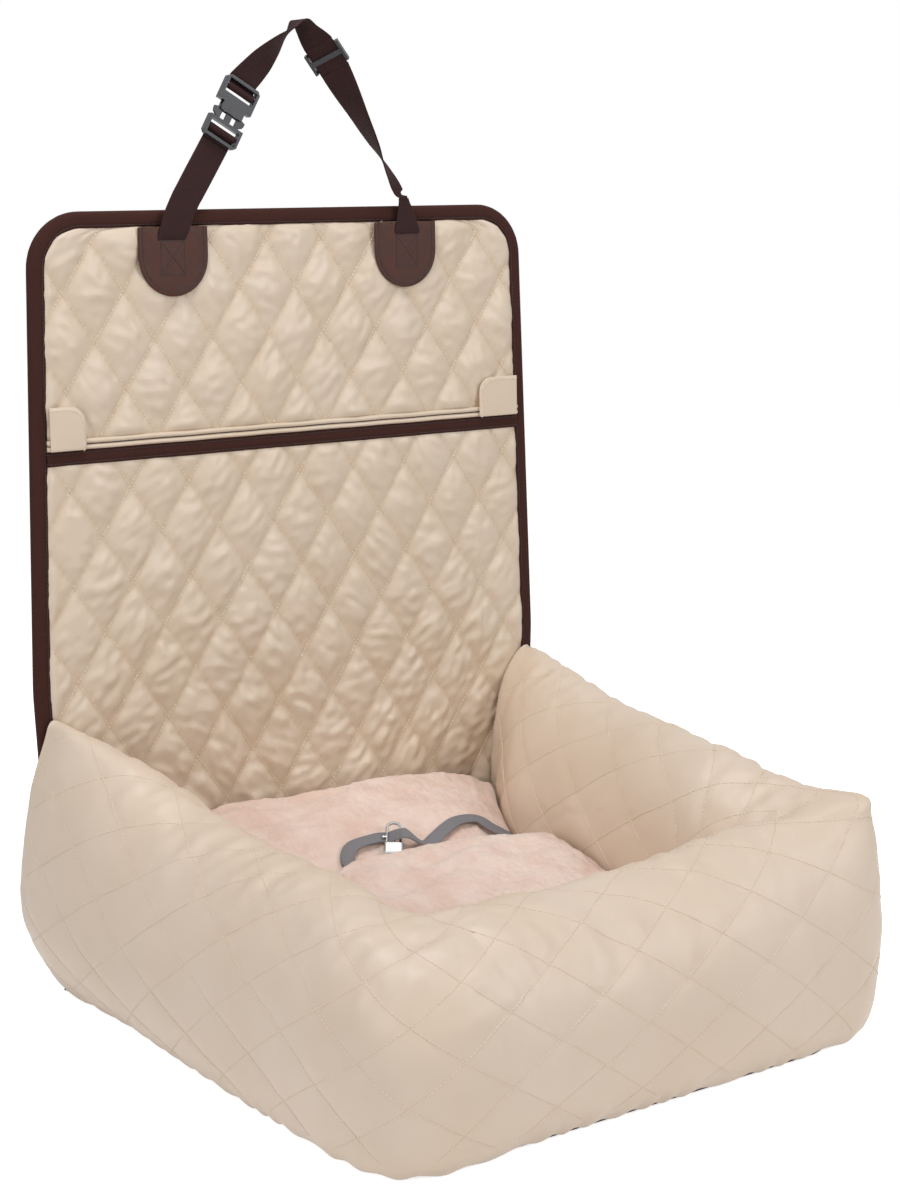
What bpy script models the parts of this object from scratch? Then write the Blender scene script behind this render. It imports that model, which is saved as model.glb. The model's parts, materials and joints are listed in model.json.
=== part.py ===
"""Dog car seat: a quilted booster bed with a folding back panel and a headrest strap.

The bed is a stiffened floor with three stuffed bolsters and a plush seat pad. A quilted panel
stands behind it: its lower wall is fixed to the bed and its upper flap folds forward over the
bed. The flap carries a bound edge, a concealed zip pocket and a headrest strap that closes with
a side-release buckle. A tether with a bolt snap lies on the pad.

Frame: metres, +Z up, +Y to the back, +X to the right as seen from the front. The origin is on
the underside of the floor.
"""

import math

import bmesh
import bpy
from mathutils import Matrix, Vector

# Clearances and cutting
GAP = 0.0003
RUN = 0.0008
OVERRUN = 0.004
CLEAR_SOFT = 0.003

# Bed floor
FLOOR_HALF_WIDTH = 0.250
FLOOR_FRONT_Y = -0.252
FLOOR_BACK_Y = 0.270
FLOOR_COVER_THICKNESS = 0.0015
FLOOR_BOARD_THICKNESS = 0.0042
FLOOR_BOARD_INSET = 0.008
FLOOR_CORNER_RADIUS = 0.030

# Bolsters
BED_HALF_WIDTH = 0.272
BED_FRONT_Y = -0.262
BOLSTER_DEPTH = 0.122
END_LOOP = 0.008
TIP_HEIGHT_LEFT = 0.272
TIP_HEIGHT_RIGHT = 0.276
CORNER_HEIGHT_LEFT = 0.190
CORNER_HEIGHT_RIGHT = 0.226
FRONT_HEIGHT = 0.196
RIDGE_RISE = 0.003
CORNER_RIDGE_LEFT = 0.068
CORNER_RIDGE_RIGHT = 0.050
CORNER_BULGE = 0.008
FRONT_BULGE = 0.020
FRONT_RIDGE = 0.060
SIDE_STRAIGHT_END_Y = -0.070
FRONT_STRAIGHT_END_X = 0.100
# Places along a side bolster from the wall, as shares of its straight run
SIDE_PLACE_SHARES = (0.165, 0.32, 0.475, 0.63, 0.785, 1.0)
RIDGE_HEIGHT_LEFT_SHARES = (0.95, 0.87, 0.79, 0.77, 0.757, 0.75)
RIDGE_HEIGHT_RIGHT_SHARES = (0.96, 0.935, 0.91, 0.90, 0.893, 0.885)
RIDGE_OUT_LEFT_SHARES = (1.03, 0.965, 0.89, 0.82, 0.81, 0.80, 0.792)
RIDGE_OUT_RIGHT_SHARES = (1.03, 1.01, 0.985, 0.94, 0.905, 0.875, 0.85)
INNER_FACE_SHARES = (0.853, 0.73, 0.64, 0.60, 0.58, 0.57, 0.56)
BULGE_SHARES = (1.10, 1.14, 1.155, 1.14, 1.11, 1.085, 1.065)
# Front bolster: places along its half length, and ridge height at left, centre and right
FRONT_PLACE_SHARES = (-1.0, -0.5, 0.0, 0.5, 1.0)
FRONT_RIDGE_SHARES = (0.965, 0.95, 0.965, 0.985, 1.0)

# Seat pad
PAD_FRONT_Y = -0.135
PAD_BACK_Y = 0.252
PAD_CROWN = 0.158
PAD_CAP = 0.008
# Pad top along its length from the front, and its height as shares of the crown
PAD_PLACE_SHARES = (0.0, 0.02, 0.09, 0.20, 0.31, 0.41, 0.475, 0.535, 0.58, 0.635, 0.70, 0.78, 0.88, 0.98, 1.0)
PAD_HEIGHT_SHARES = (0.60, 0.66, 0.76, 0.86, 0.93, 0.985, 0.985, 0.90, 0.745, 0.72, 0.86, 0.965, 1.01, 1.045, 1.03)
PAD_SIDE_SHARES = ((0.84, 0.0), (0.99, 0.16), (1.0, 0.45), (0.99, 0.78), (0.90, 0.95), (0.50, 1.0))

# Back panel
PANEL_HEIGHT = 0.731
PANEL_SETBACK = 0.002
PANEL_FLARE = 0.022
PANEL_TAPER = 0.024
PANEL_CORNER_RADIUS = 0.052
PANEL_FACE_Y = 0.256
PANEL_LEAN = math.radians(1.4)
FOLD_HEIGHT = 0.295
QUILT_THICKNESS = 0.0060
BOARD_THICKNESS = 0.0040
BACK_CLOTH_THICKNESS = 0.0012
BINDING_WIDTH = 0.0150
BINDING_CLOTH = 0.0012
FOLD_RELIEF_BOARD = 0.0011
FOLD_RELIEF_BACK = 0.0015

# Quilting
DIAMOND_WIDTH = 0.062
DIAMOND_HEIGHT = 0.0895
DIAMOND_X = -0.0285
DIAMOND_Z = 0.4345
SEAM_DEPTH = 0.0030
EDGE_DEPTH = 0.0015

# Pocket band and zip
BAND_BOTTOM = 0.5035
BAND_WIDTH = 0.0130
ZIP_WIDTH = 0.0102
ZIP_TAPE_THICKNESS = 0.0007
ZIP_COIL_WIDTH = 0.0040
ZIP_COIL_DEPTH = 0.0017
ZIP_SLIT = 0.0016
LIP_THICKNESS = 0.0014
LIP_DEPTH = 0.0003
SLIDER_LENGTH = 0.0120
SLIDER_WIDTH = 0.0080
SLIDER_WALL = 0.0009
SLIDER_X = 0.235
PULL_WIDTH = 0.0070
PULL_LENGTH = 0.0170
PULL_THICKNESS = 0.0010
GARAGE_HEIGHT = 0.040
GARAGE_LEFT_WIDTH = 0.036
GARAGE_RIGHT_WIDTH = 0.048
GARAGE_DEPTH = 0.0024
GARAGE_CLOTH = 0.0012
GARAGE_RADIUS = 0.015

# Leather patches and webbing
WEB_WIDTH = 0.030
WEB_THICKNESS = 0.0014
PATCH_WIDTH = 0.073
PATCH_HEIGHT = 0.064
PATCH_THICKNESS = 0.0015
PATCH_LEFT_X = -0.132
PATCH_RIGHT_X = 0.1295
TAIL_HEIGHT = 0.031
TAIL_RISE = 0.0045
SWING_GAP = 0.0010
LEFT_FOOT_X = -0.121
RIGHT_FOOT_X = 0.1262
RIGHT_FOOT_WIDTH = 0.0105
RELEASE_X = 0.131
RELEASE_DROP = 0.0318

# Buckle, along its own axis from its middle
BUCKLE_X = -0.0675
BUCKLE_RISE = 0.0828
BUCKLE_TURN = math.radians(30.0)
BUCKLE_HALF_LENGTH = 0.0310
BUCKLE_HALF_WIDTH = 0.0190
BUCKLE_THICKNESS = 0.0070
BAR_WIDTH = 0.0032
BAR_SLOT = 0.0052
INNER_BAR_HALF_WIDTH = 0.0013
INNER_BAR_HALF_DEPTH = 0.0012
BUCKLE_WINDOW = 0.0056
SLOT_HALF_WIDTH = 0.0160
WINDOW_HALF_WIDTH = 0.0138
SOCKET_DEPTH = 0.0110
SOCKET_HALF_WIDTH = 0.0140
HOUSING_MOUTH = -0.0030
TONGUE_HALF_WIDTH = 0.0032
TONGUE_LENGTH = 0.0150
PRONG_WIDTH = 0.0040
PRONG_X = 0.0105
PRONG_LENGTH = 0.0140
PRONG_BARB = 0.0056
PRONG_THICKNESS = 0.0026
PLASTIC_BEVEL = 0.0006

# Strap over the buckle: the apex and the right leg in the panel's plane
APEX_X = 0.0105
APEX_RISE = 0.1675
ADJUSTER_OUT = 0.0300
ADJUSTER_DROP = 0.0325
ADJUSTER_SLOPE = math.radians(-52.0)
ADJUSTER_TWIST = math.radians(48.0)
ADJUSTER_LENGTH = 0.0220
ADJUSTER_HALF_WIDTH = 0.0185
ADJUSTER_BAR = 0.0035
ADJUSTER_BAR_THICKNESS = 0.0016
STRAIGHT_STRETCH = 0.0360

# Tether and its bolt snap
TETHER_WIDTH = 0.0140
TETHER_THICKNESS = 0.0016
TETHER_STEP = 0.0070
HOOK_PLACE = (-0.0033, 0.1067, 0.1215)
HOOK_AZIMUTH = math.radians(36.0)
HOOK_TILT = math.radians(34.0)
EYE_HALF_WIDTH = 0.0090
EYE_LENGTH = 0.0085
EYE_WIRE = 0.0011
PIN_RADIUS = 0.0012
PIN_HEAD_RADIUS = 0.0020
PIN_HEAD_LENGTH = 0.0024
BARREL_BOTTOM = 0.0110
BARREL_LENGTH = 0.0150
BARREL_HALF_WIDTH = 0.0092
BARREL_HALF_DEPTH = 0.0036
HOOK_HALF_SPAN = 0.0066
HOOK_WIRE = 0.0015
HOOK_STRAIGHT_TOP = 0.0440
HOOK_GATE = 0.0375
BOLT_RADIUS = 0.0011
BOLT_LENGTH = 0.0175
BOLT_TRAVEL = 0.0060
THUMB_LENGTH = 0.0040
THUMB_RADIUS = 0.0013

PANEL_BASE_WIDTH = 2 * (BED_HALF_WIDTH - PANEL_SETBACK)
PANEL_FOLD_WIDTH = PANEL_BASE_WIDTH + PANEL_FLARE
PANEL_TOP_WIDTH = PANEL_FOLD_WIDTH - PANEL_TAPER
TAIL_TOP = PANEL_HEIGHT + TAIL_RISE
SWING_HEIGHT = TAIL_TOP + SWING_GAP
RELEASE_HEIGHT = SWING_HEIGHT - RELEASE_DROP
BUCKLE_HEIGHT = SWING_HEIGHT + BUCKLE_RISE
APEX_HEIGHT = SWING_HEIGHT + APEX_RISE
ADJUSTER_X = APEX_X + ADJUSTER_OUT
ADJUSTER_HEIGHT = APEX_HEIGHT - ADJUSTER_DROP
FLOOR_TOP = FLOOR_COVER_THICKNESS + GAP + FLOOR_BOARD_THICKNESS
SOFT_BOTTOM = FLOOR_TOP + GAP
BOARD_FRONT = QUILT_THICKNESS + GAP
BOARD_BACK = BOARD_FRONT + BOARD_THICKNESS
CLOTH_FRONT = BOARD_BACK + GAP
CLOTH_BACK = CLOTH_FRONT + BACK_CLOTH_THICKNESS
BINDING_FRONT = BOARD_FRONT - GAP - BINDING_CLOTH
BINDING_BACK = CLOTH_BACK + GAP + BINDING_CLOTH
BAND_TOP = BAND_BOTTOM + BAND_WIDTH
ZIP_TOP = BAND_TOP + ZIP_WIDTH
ZIP_MIDDLE = BAND_TOP + ZIP_WIDTH / 2
TAIL_FRONT = -(GAP + PATCH_THICKNESS + GAP)
STRAP_DEPTH = TAIL_FRONT - WEB_THICKNESS / 2


def linear(code):
    """Turn an sRGB hex colour into a linear RGBA value."""
    channels = []
    for start in (0, 2, 4):
        value = int(code[start:start + 2], 16) / 255
        channels.append(value / 12.92 if value <= 0.04045 else ((value + 0.055) / 1.055) ** 2.4)
    return (*channels, 1.0)


def make_material(name, code, roughness, metallic=0.0):
    """Make one plain surface finish."""
    material = bpy.data.materials.new(name)
    material.use_nodes = True
    shader = material.node_tree.nodes["Principled BSDF"]
    shader.inputs["Base Color"].default_value = linear(code)
    shader.inputs["Roughness"].default_value = roughness
    shader.inputs["Metallic"].default_value = metallic
    material.diffuse_color = linear(code)
    return material


def start_scene():
    """Empty the scene and make the two collections."""
    for old in list(bpy.data.objects):
        bpy.data.objects.remove(old, do_unlink=True)
    collections = []
    for name in ("dog_car_seat", "cutters"):
        collection = bpy.data.collections.new(name)
        bpy.context.scene.collection.children.link(collection)
        collections.append(collection)
    return collections


PARTS, CUTTERS = start_scene()
CREAM = make_material("cream_satin", "d5c3ae", 0.45)
DARK = make_material("brown_webbing", "37272a", 0.8)
LEATHER = make_material("brown_leather", "5e413a", 0.5)
PLUSH = make_material("pink_plush", "dfc4b4", 0.95)
PLASTIC = make_material("grey_plastic", "45464a", 0.4)
BOARD = make_material("white_board", "d8d6d0", 0.6)
LINING = make_material("brown_lining", "4a3c38", 0.8)
CHROME = make_material("bright_chrome", "c8c9cc", 0.15, 1.0)
GREY_WEB = make_material("grey_webbing", "6c6a6d", 0.8)


def add_empty(name, parent=None, location=(0, 0, 0), rotation=(0, 0, 0)):
    """Add an axis or frame marker that pieces are parented to."""
    empty = bpy.data.objects.new(name, None)
    empty.empty_display_size = BINDING_WIDTH
    PARTS.objects.link(empty)
    empty.parent = parent
    empty.location = location
    empty.rotation_euler = rotation
    return empty


def add_part(name, mesh, material, parent=None, location=(0, 0, 0)):
    """Add one named piece with its finish."""
    part = bpy.data.objects.new(name, mesh)
    PARTS.objects.link(part)
    mesh.materials.clear()
    mesh.materials.append(material)
    part.parent = parent
    part.location = location
    return part


def add_cutter(name, mesh, parent=None, location=(0, 0, 0)):
    """Add a cutting body that stays out of the model."""
    cutter = bpy.data.objects.new(name, mesh)
    CUTTERS.objects.link(cutter)
    cutter.parent = parent
    cutter.location = location
    cutter.hide_render = True
    cutter.display_type = "WIRE"
    return cutter


def combine(part, other, operation="DIFFERENCE"):
    """Cut, join or intersect a piece with a cutting body."""
    modifier = part.modifiers.new(other.name, "BOOLEAN")
    modifier.operation = operation
    modifier.solver = "EXACT"
    modifier.object = other


def bevel(part, width, segments=2, angle=35.0):
    """Round the sharp edges of a piece."""
    modifier = part.modifiers.new("edge", "BEVEL")
    modifier.width = width
    modifier.segments = segments
    modifier.limit_method = "ANGLE"
    modifier.angle_limit = math.radians(angle)


def mesh_from(name, build):
    """Make a mesh from a function that fills a bmesh."""
    bm = bmesh.new()
    build(bm)
    bmesh.ops.recalc_face_normals(bm, faces=bm.faces)
    mesh = bpy.data.meshes.new(name)
    bm.to_mesh(mesh)
    bm.free()
    return mesh


def block_mesh(name, low, high):
    """Make a box from its lowest and highest corners."""
    low, high = Vector(low), Vector(high)
    middle = (low + high) / 2
    size = high - low
    matrix = Matrix.Translation(middle) @ Matrix.Diagonal((*size, 1))
    return mesh_from(name, lambda bm: bmesh.ops.create_cube(bm, size=1, matrix=matrix))


def rod_mesh(name, radius, start, end, sides=20):
    """Make a round rod between two points."""
    start, end = Vector(start), Vector(end)
    turn = (end - start).to_track_quat("Z", "Y").to_matrix().to_4x4()
    matrix = Matrix.Translation((start + end) / 2) @ turn
    return mesh_from(name, lambda bm: bmesh.ops.create_cone(
        bm, cap_ends=True, segments=sides, radius1=radius, radius2=radius,
        depth=(end - start).length, matrix=matrix))


def mesh_of_curve(name, curve):
    """Turn a curve into a closed mesh with its caps welded on."""
    holder = bpy.data.objects.new(name, curve)
    CUTTERS.objects.link(holder)
    bpy.context.view_layer.update()
    evaluated = holder.evaluated_get(bpy.context.evaluated_depsgraph_get())
    mesh = bpy.data.meshes.new_from_object(evaluated)
    bpy.data.objects.remove(holder, do_unlink=True)
    bm = bmesh.new()
    bm.from_mesh(mesh)
    bmesh.ops.remove_doubles(bm, verts=bm.verts, dist=GAP / 30)
    bmesh.ops.recalc_face_normals(bm, faces=bm.faces)
    bm.to_mesh(mesh)
    bm.free()
    return mesh


def plate_mesh(name, outline, front, back):
    """Make a flat plate from an outline of (x, height) points, between two depths along Y."""
    curve = bpy.data.curves.new(name, "CURVE")
    curve.dimensions = "2D"
    curve.fill_mode = "BOTH"
    curve.extrude = (back - front) / 2
    spline = curve.splines.new("POLY")
    spline.points.add(len(outline) - 1)
    for point, (x, height) in zip(spline.points, outline):
        point.co = (x, height, 0, 1)
    spline.use_cyclic_u = True
    mesh = mesh_of_curve(name, curve)
    stand = Matrix.Translation((0, (front + back) / 2, 0)) @ Matrix.Rotation(math.radians(90), 4, "X")
    mesh.transform(stand)
    return mesh


def wire_mesh(name, points, radius, resolution=2, closed=False):
    """Make a round wire along a list of points, open with caps or closed into a ring."""
    curve = bpy.data.curves.new(name, "CURVE")
    curve.dimensions = "3D"
    curve.bevel_depth = radius
    curve.bevel_resolution = resolution
    curve.use_fill_caps = not closed
    spline = curve.splines.new("POLY")
    spline.points.add(len(points) - 1)
    for point, place in zip(spline.points, points):
        point.co = (*place, 1)
    spline.use_cyclic_u = closed
    return mesh_of_curve(name, curve)


def loft_mesh(name, rings):
    """Skin a list of rings, each with the same number of points, and close both ends."""
    def build(bm):
        loops = [[bm.verts.new(point) for point in ring] for ring in rings]
        count = len(loops[0])
        for first, second in zip(loops, loops[1:]):
            for index in range(count):
                after = (index + 1) % count
                bm.faces.new((first[index], first[after], second[after], second[index]))
        bm.faces.new(loops[0][::-1])
        bm.faces.new(loops[-1])
    return mesh_from(name, build)


def soften(part):
    """Round a coarse soft cage."""
    modifier = part.modifiers.new("soft", "SUBSURF")
    modifier.levels = 1
    modifier.render_levels = 1
    part.data.shade_smooth()


def arc(centre_x, centre_z, radius, start, end, steps):
    """Give points along an arc, with angles in degrees from +X."""
    points = []
    for step in range(steps + 1):
        angle = math.radians(start + (end - start) * step / steps)
        points.append((centre_x + radius * math.cos(angle), centre_z + radius * math.sin(angle)))
    return points


def along(table, shares, place):
    """Read a table of values at a place between its places."""
    for index in range(len(shares) - 1):
        if place <= shares[index + 1]:
            span = shares[index + 1] - shares[index]
            part = (place - shares[index]) / span
            return table[index] + (table[index + 1] - table[index]) * part
    return table[-1]


def mix(first, second, share):
    """Blend two values."""
    return first + (second - first) * share


# Bed


def rounded_rectangle(half_width, low, high, radius):
    """Outline of a rectangle with round corners."""
    outline = []
    for x, y, start in ((half_width, high, 0), (-half_width, high, 90), (-half_width, low, 180), (half_width, low, 270)):
        centre_x = x - math.copysign(radius, x)
        centre_y = y - math.copysign(radius, y)
        outline += arc(centre_x, centre_y, radius, start, start + 90, 4)
    return outline


def build_floor():
    """Cloth underside and stiff board of the bed."""
    outline = rounded_rectangle(FLOOR_HALF_WIDTH, FLOOR_FRONT_Y, FLOOR_BACK_Y, FLOOR_CORNER_RADIUS)
    cover = level_plate("floor_cover", outline, 0, FLOOR_COVER_THICKNESS)
    add_part("floor_cover", cover, LINING)
    inset = FLOOR_BOARD_INSET
    outline = rounded_rectangle(FLOOR_HALF_WIDTH - inset, FLOOR_FRONT_Y + inset, FLOOR_BACK_Y - inset,
                                FLOOR_CORNER_RADIUS - inset)
    board = level_plate("floor_board", outline, FLOOR_COVER_THICKNESS + GAP, FLOOR_TOP)
    add_part("floor_board", board, BOARD)


def level_plate(name, outline, bottom, top):
    """Make a level plate from an outline of (x, y) points."""
    curve = bpy.data.curves.new(name, "CURVE")
    curve.dimensions = "2D"
    curve.fill_mode = "BOTH"
    curve.extrude = (top - bottom) / 2
    spline = curve.splines.new("POLY")
    spline.points.add(len(outline) - 1)
    for point, (x, y) in zip(spline.points, outline):
        point.co = (x, y, 0, 1)
    spline.use_cyclic_u = True
    mesh = mesh_of_curve(name, curve)
    mesh.transform(Matrix.Translation((0, 0, (bottom + top) / 2)))
    return mesh


def bolster_section(outer, bulge, ridge_in, height, depth):
    """Section of a stuffed bolster as (distance in from the floor edge, height) points."""
    rise = height - SOFT_BOTTOM
    swell = bulge - outer
    shoulder = ridge_in + swell
    inward = depth - ridge_in
    return [
        (-outer + 0.0, SOFT_BOTTOM),
        (-outer - 0.62 * swell, SOFT_BOTTOM + 0.22 * rise),
        (-outer - swell, SOFT_BOTTOM + 0.50 * rise),
        (-outer - swell + 0.18 * shoulder, SOFT_BOTTOM + 0.76 * rise),
        (-outer - swell + 0.60 * shoulder, SOFT_BOTTOM + 0.94 * rise),
        (-outer + ridge_in, height + RIDGE_RISE),
        (-outer + ridge_in + 0.40 * inward, SOFT_BOTTOM + 0.95 * rise),
        (-outer + ridge_in + 0.80 * inward, SOFT_BOTTOM + 0.80 * rise),
        (-outer + depth, SOFT_BOTTOM + 0.55 * rise),
        (-outer + depth, SOFT_BOTTOM + 0.27 * rise),
        (-outer + 0.92 * depth, SOFT_BOTTOM),
        (-outer + 0.50 * depth, SOFT_BOTTOM),
    ]


def side_section(index, ridge_out_shares, height):
    """Section of a side bolster at one of its places, as (distance from the middle, height)."""
    outer = BED_HALF_WIDTH
    bulge = BULGE_SHARES[index] * BED_HALF_WIDTH
    ridge_in = outer - ridge_out_shares[index] * BED_HALF_WIDTH
    depth = outer - INNER_FACE_SHARES[index] * BED_HALF_WIDTH
    section = bolster_section(0, bulge - outer, ridge_in, height, depth)
    return [(outer - inward, z) for inward, z in section]


def corner_section(ridge_in, height):
    """Section on the mitre of a front corner, as (distance in from both floor edges, height)."""
    return bolster_section(0, CORNER_BULGE, ridge_in, height, BOLSTER_DEPTH)


def wall_line(height):
    """Depth of the panel's front face at a height."""
    return PANEL_FACE_Y + height * math.tan(PANEL_LEAN)


def build_side_bolster(name, side, tip, height_shares, ridge_shares, corner_height, corner_ridge):
    """Stuffed side bolster that rises to a tip against the panel and ends on the corner's mitre."""
    run = PANEL_FACE_Y - SIDE_STRAIGHT_END_Y
    rear = side_section(0, ridge_shares, tip)
    rings = []
    for setback in (GAP * 2, END_LOOP):
        rings.append([(side * x, wall_line(z) - setback, z) for x, z in rear])
    for index, place in enumerate(SIDE_PLACE_SHARES):
        height = height_shares[index] * tip
        section = side_section(index + 1, ridge_shares, height)
        rings.append([(side * x, PANEL_FACE_Y - place * run, z) for x, z in section])
    straight = rings[-1]
    corner = corner_section(corner_ridge, corner_height)
    mitre = [(side * (BED_HALF_WIDTH - inward), BED_FRONT_Y + inward + GAP, z) for inward, z in corner]
    loop = [(x, y + END_LOOP, z) for x, y, z in mitre]
    for share in (1 / 3, 2 / 3):
        rings.append([tuple(mix(a, b, share) for a, b in zip(first, last)) for first, last in zip(straight, loop)])
    rings += [loop, mitre]
    part = add_part(name, loft_mesh(name, rings), CREAM)
    soften(part)
    return part


def build_front_bolster():
    """Stuffed front bolster between the two mitres."""
    ends = {}
    for side, ridge_in, height in ((-1, CORNER_RIDGE_LEFT, CORNER_HEIGHT_LEFT),
                                   (1, CORNER_RIDGE_RIGHT, CORNER_HEIGHT_RIGHT)):
        section = corner_section(ridge_in, height)
        mitre = [(side * (BED_HALF_WIDTH - inward), BED_FRONT_Y + inward - GAP, z) for inward, z in section]
        loop = [(x - side * END_LOOP, y, z) for x, y, z in mitre]
        ends[side] = (mitre, loop)
    middle = []
    for place, share in zip(FRONT_PLACE_SHARES, FRONT_RIDGE_SHARES):
        section = bolster_section(0, FRONT_BULGE, FRONT_RIDGE, share * FRONT_HEIGHT, BOLSTER_DEPTH)
        x = place * FRONT_STRAIGHT_END_X
        middle.append([(x, BED_FRONT_Y + inward, z) for inward, z in section])
    rings = list(ends[-1])
    for share in (1 / 3, 2 / 3):
        rings.append([tuple(mix(a, b, share) for a, b in zip(first, last)) for first, last in zip(ends[-1][1], middle[0])])
    rings += middle
    for share in (1 / 3, 2 / 3):
        rings.append([tuple(mix(a, b, share) for a, b in zip(first, last)) for first, last in zip(middle[-1], ends[1][1])])
    rings += [ends[1][1], ends[1][0]]
    part = add_part("bolster_front", loft_mesh("bolster_front", rings), CREAM)
    soften(part)


def inner_half_width(y):
    """Half the width between the side bolsters at a depth."""
    run = PANEL_FACE_Y - SIDE_STRAIGHT_END_Y
    place = max(0.0, (PANEL_FACE_Y - y) / run)
    return BED_HALF_WIDTH * along(INNER_FACE_SHARES, (0.0,) + SIDE_PLACE_SHARES, place)


def pad_height(y):
    """Height of the seat pad's middle at a depth."""
    place = (y - PAD_FRONT_Y) / (PAD_BACK_Y - PAD_FRONT_Y)
    return PAD_CROWN * along(PAD_HEIGHT_SHARES, PAD_PLACE_SHARES, place)


def build_seat_pad():
    """Plush cushion with a hump in front, a hollow behind it and a slope up to the wall."""
    rings = []
    for place, share in zip(PAD_PLACE_SHARES, PAD_HEIGHT_SHARES):
        y = mix(PAD_FRONT_Y, PAD_BACK_Y, place)
        half = inner_half_width(y) - CLEAR_SOFT
        rise = share * PAD_CROWN - SOFT_BOTTOM
        half_ring = [(across * half, SOFT_BOTTOM + up * rise) for across, up in PAD_SIDE_SHARES]
        ring = [(0, SOFT_BOTTOM)] + half_ring + [(0, SOFT_BOTTOM + rise)]
        ring += [(-x, z) for x, z in reversed(half_ring)]
        rings.append([(x, y, z) for x, z in ring])
    part = add_part("seat_pad", loft_mesh("seat_pad", rings), PLUSH)
    soften(part)


# Back panel


def panel_half_width(height):
    """Half width of the bound panel at a height."""
    if height >= FOLD_HEIGHT:
        share = (height - FOLD_HEIGHT) / (PANEL_HEIGHT - PANEL_CORNER_RADIUS - FOLD_HEIGHT)
        return mix(PANEL_FOLD_WIDTH, PANEL_TOP_WIDTH, min(1.0, share)) / 2
    share = (height - SOFT_BOTTOM) / (FOLD_HEIGHT - SOFT_BOTTOM)
    return mix(PANEL_BASE_WIDTH, PANEL_FOLD_WIDTH, share) / 2


def flap_outline(inset, bottom):
    """Outline of the folding flap, drawn in by an inset, with two round top corners."""
    radius = PANEL_CORNER_RADIUS - inset
    top = PANEL_HEIGHT - inset
    half_top = panel_half_width(PANEL_HEIGHT) - inset
    half_bottom = panel_half_width(FOLD_HEIGHT) - inset
    straight = PANEL_HEIGHT - PANEL_CORNER_RADIUS - FOLD_HEIGHT
    half_bottom += (half_bottom - half_top) * (FOLD_HEIGHT - bottom) / straight
    right = arc(half_top - radius, top - radius, radius, 0, 90, 8)
    left = [(-x, z) for x, z in reversed(right)]
    return [(half_bottom, bottom)] + right + left + [(-half_bottom, bottom)]


def wall_outline(inset, bottom, top):
    """Outline of the fixed wall, drawn in by an inset at its sides."""
    low, high = panel_half_width(bottom) - inset, panel_half_width(top) - inset
    return [(low, bottom), (high, top), (-high, top), (-low, bottom)]


def quilt_depth(x, z):
    """Depth of the quilted face below its crests: the diamonds' seams are lowest."""
    across = (x - DIAMOND_X) / DIAMOND_WIDTH
    up = (z - DIAMOND_Z) / DIAMOND_HEIGHT
    puff = abs(math.sin(math.pi * (across + up)) * math.sin(math.pi * (across - up)))
    return SEAM_DEPTH * (1 - puff ** 0.5)


def quilt_mesh(name, bottom, top, fold_edge=None):
    """Quilted sheet with diamond tufts; a fold edge is cut back behind its front."""
    half = PANEL_FOLD_WIDTH / 2
    step_x = DIAMOND_WIDTH / 2
    step_z = DIAMOND_HEIGHT / 2
    first_x = DIAMOND_X + math.floor((-half - DIAMOND_X) / step_x) * step_x
    last_x = DIAMOND_X + math.ceil((half - DIAMOND_X) / step_x) * step_x
    places_x = [first_x + step_x * index for index in range(round((last_x - first_x) / step_x) + 1)]
    places_z = [bottom]
    place = DIAMOND_Z + math.ceil((bottom - DIAMOND_Z) / step_z) * step_z
    if place - bottom < step_z / 5:
        place += step_z
    while place < top - step_z / 5:
        places_z.append(place)
        place += step_z
    places_z.append(top)

    def build(bm):
        columns = [[bm.verts.new((x, 0, z)) for z in places_z] for x in places_x]
        for left, right in zip(columns, columns[1:]):
            for index in range(len(places_z) - 1):
                bm.faces.new((left[index], right[index], right[index + 1], left[index + 1]))
        bmesh.ops.poke(bm, faces=bm.faces[:])
        for vert in bm.verts:
            vert.co.y = EDGE_DEPTH if vert.is_boundary else quilt_depth(vert.co.x, vert.co.z)
        rim = [edge for edge in bm.edges if edge.is_boundary]
        grown = bmesh.ops.extrude_edge_only(bm, edges=rim)["geom"]
        for vert in (item for item in grown if isinstance(item, bmesh.types.BMVert)):
            vert.co.y = QUILT_THICKNESS
            if fold_edge == "bottom" and vert.co.z < bottom + GAP:
                vert.co.z += FOLD_RELIEF_BOARD
            if fold_edge == "top" and vert.co.z > top - GAP:
                vert.co.z -= FOLD_RELIEF_BOARD
        bmesh.ops.holes_fill(bm, edges=[edge for edge in bm.edges if edge.is_boundary])
    return mesh_from(name, build)


def build_quilt(name, bottom, top, outline, parent, location, fold_edge=None):
    """Quilted sheet trimmed to the inside of the binding."""
    part = add_part(name, quilt_mesh(name, bottom, top, fold_edge), CREAM, parent, location)
    trim = plate_mesh(name + "_trim", outline, -OVERRUN, QUILT_THICKNESS + OVERRUN)
    combine(part, add_cutter(name + "_trim", trim, parent, location), "INTERSECT")
    return part


def build_binding(name, outer, inner, window, parent, location):
    """Folded edge binding: a channel round the layers with a leg in front and one behind."""
    body = plate_mesh(name, outer, BINDING_FRONT, BINDING_BACK)
    part = add_part(name, body, DARK, parent, location)
    channel = plate_mesh(name + "_channel", inner, BINDING_FRONT + BINDING_CLOTH, BINDING_BACK - BINDING_CLOTH)
    combine(part, add_cutter(name + "_channel", channel, parent, location))
    opening = plate_mesh(name + "_opening", window, BINDING_FRONT - OVERRUN, BINDING_BACK + OVERRUN)
    combine(part, add_cutter(name + "_opening", opening, parent, location))
    return part


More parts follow.
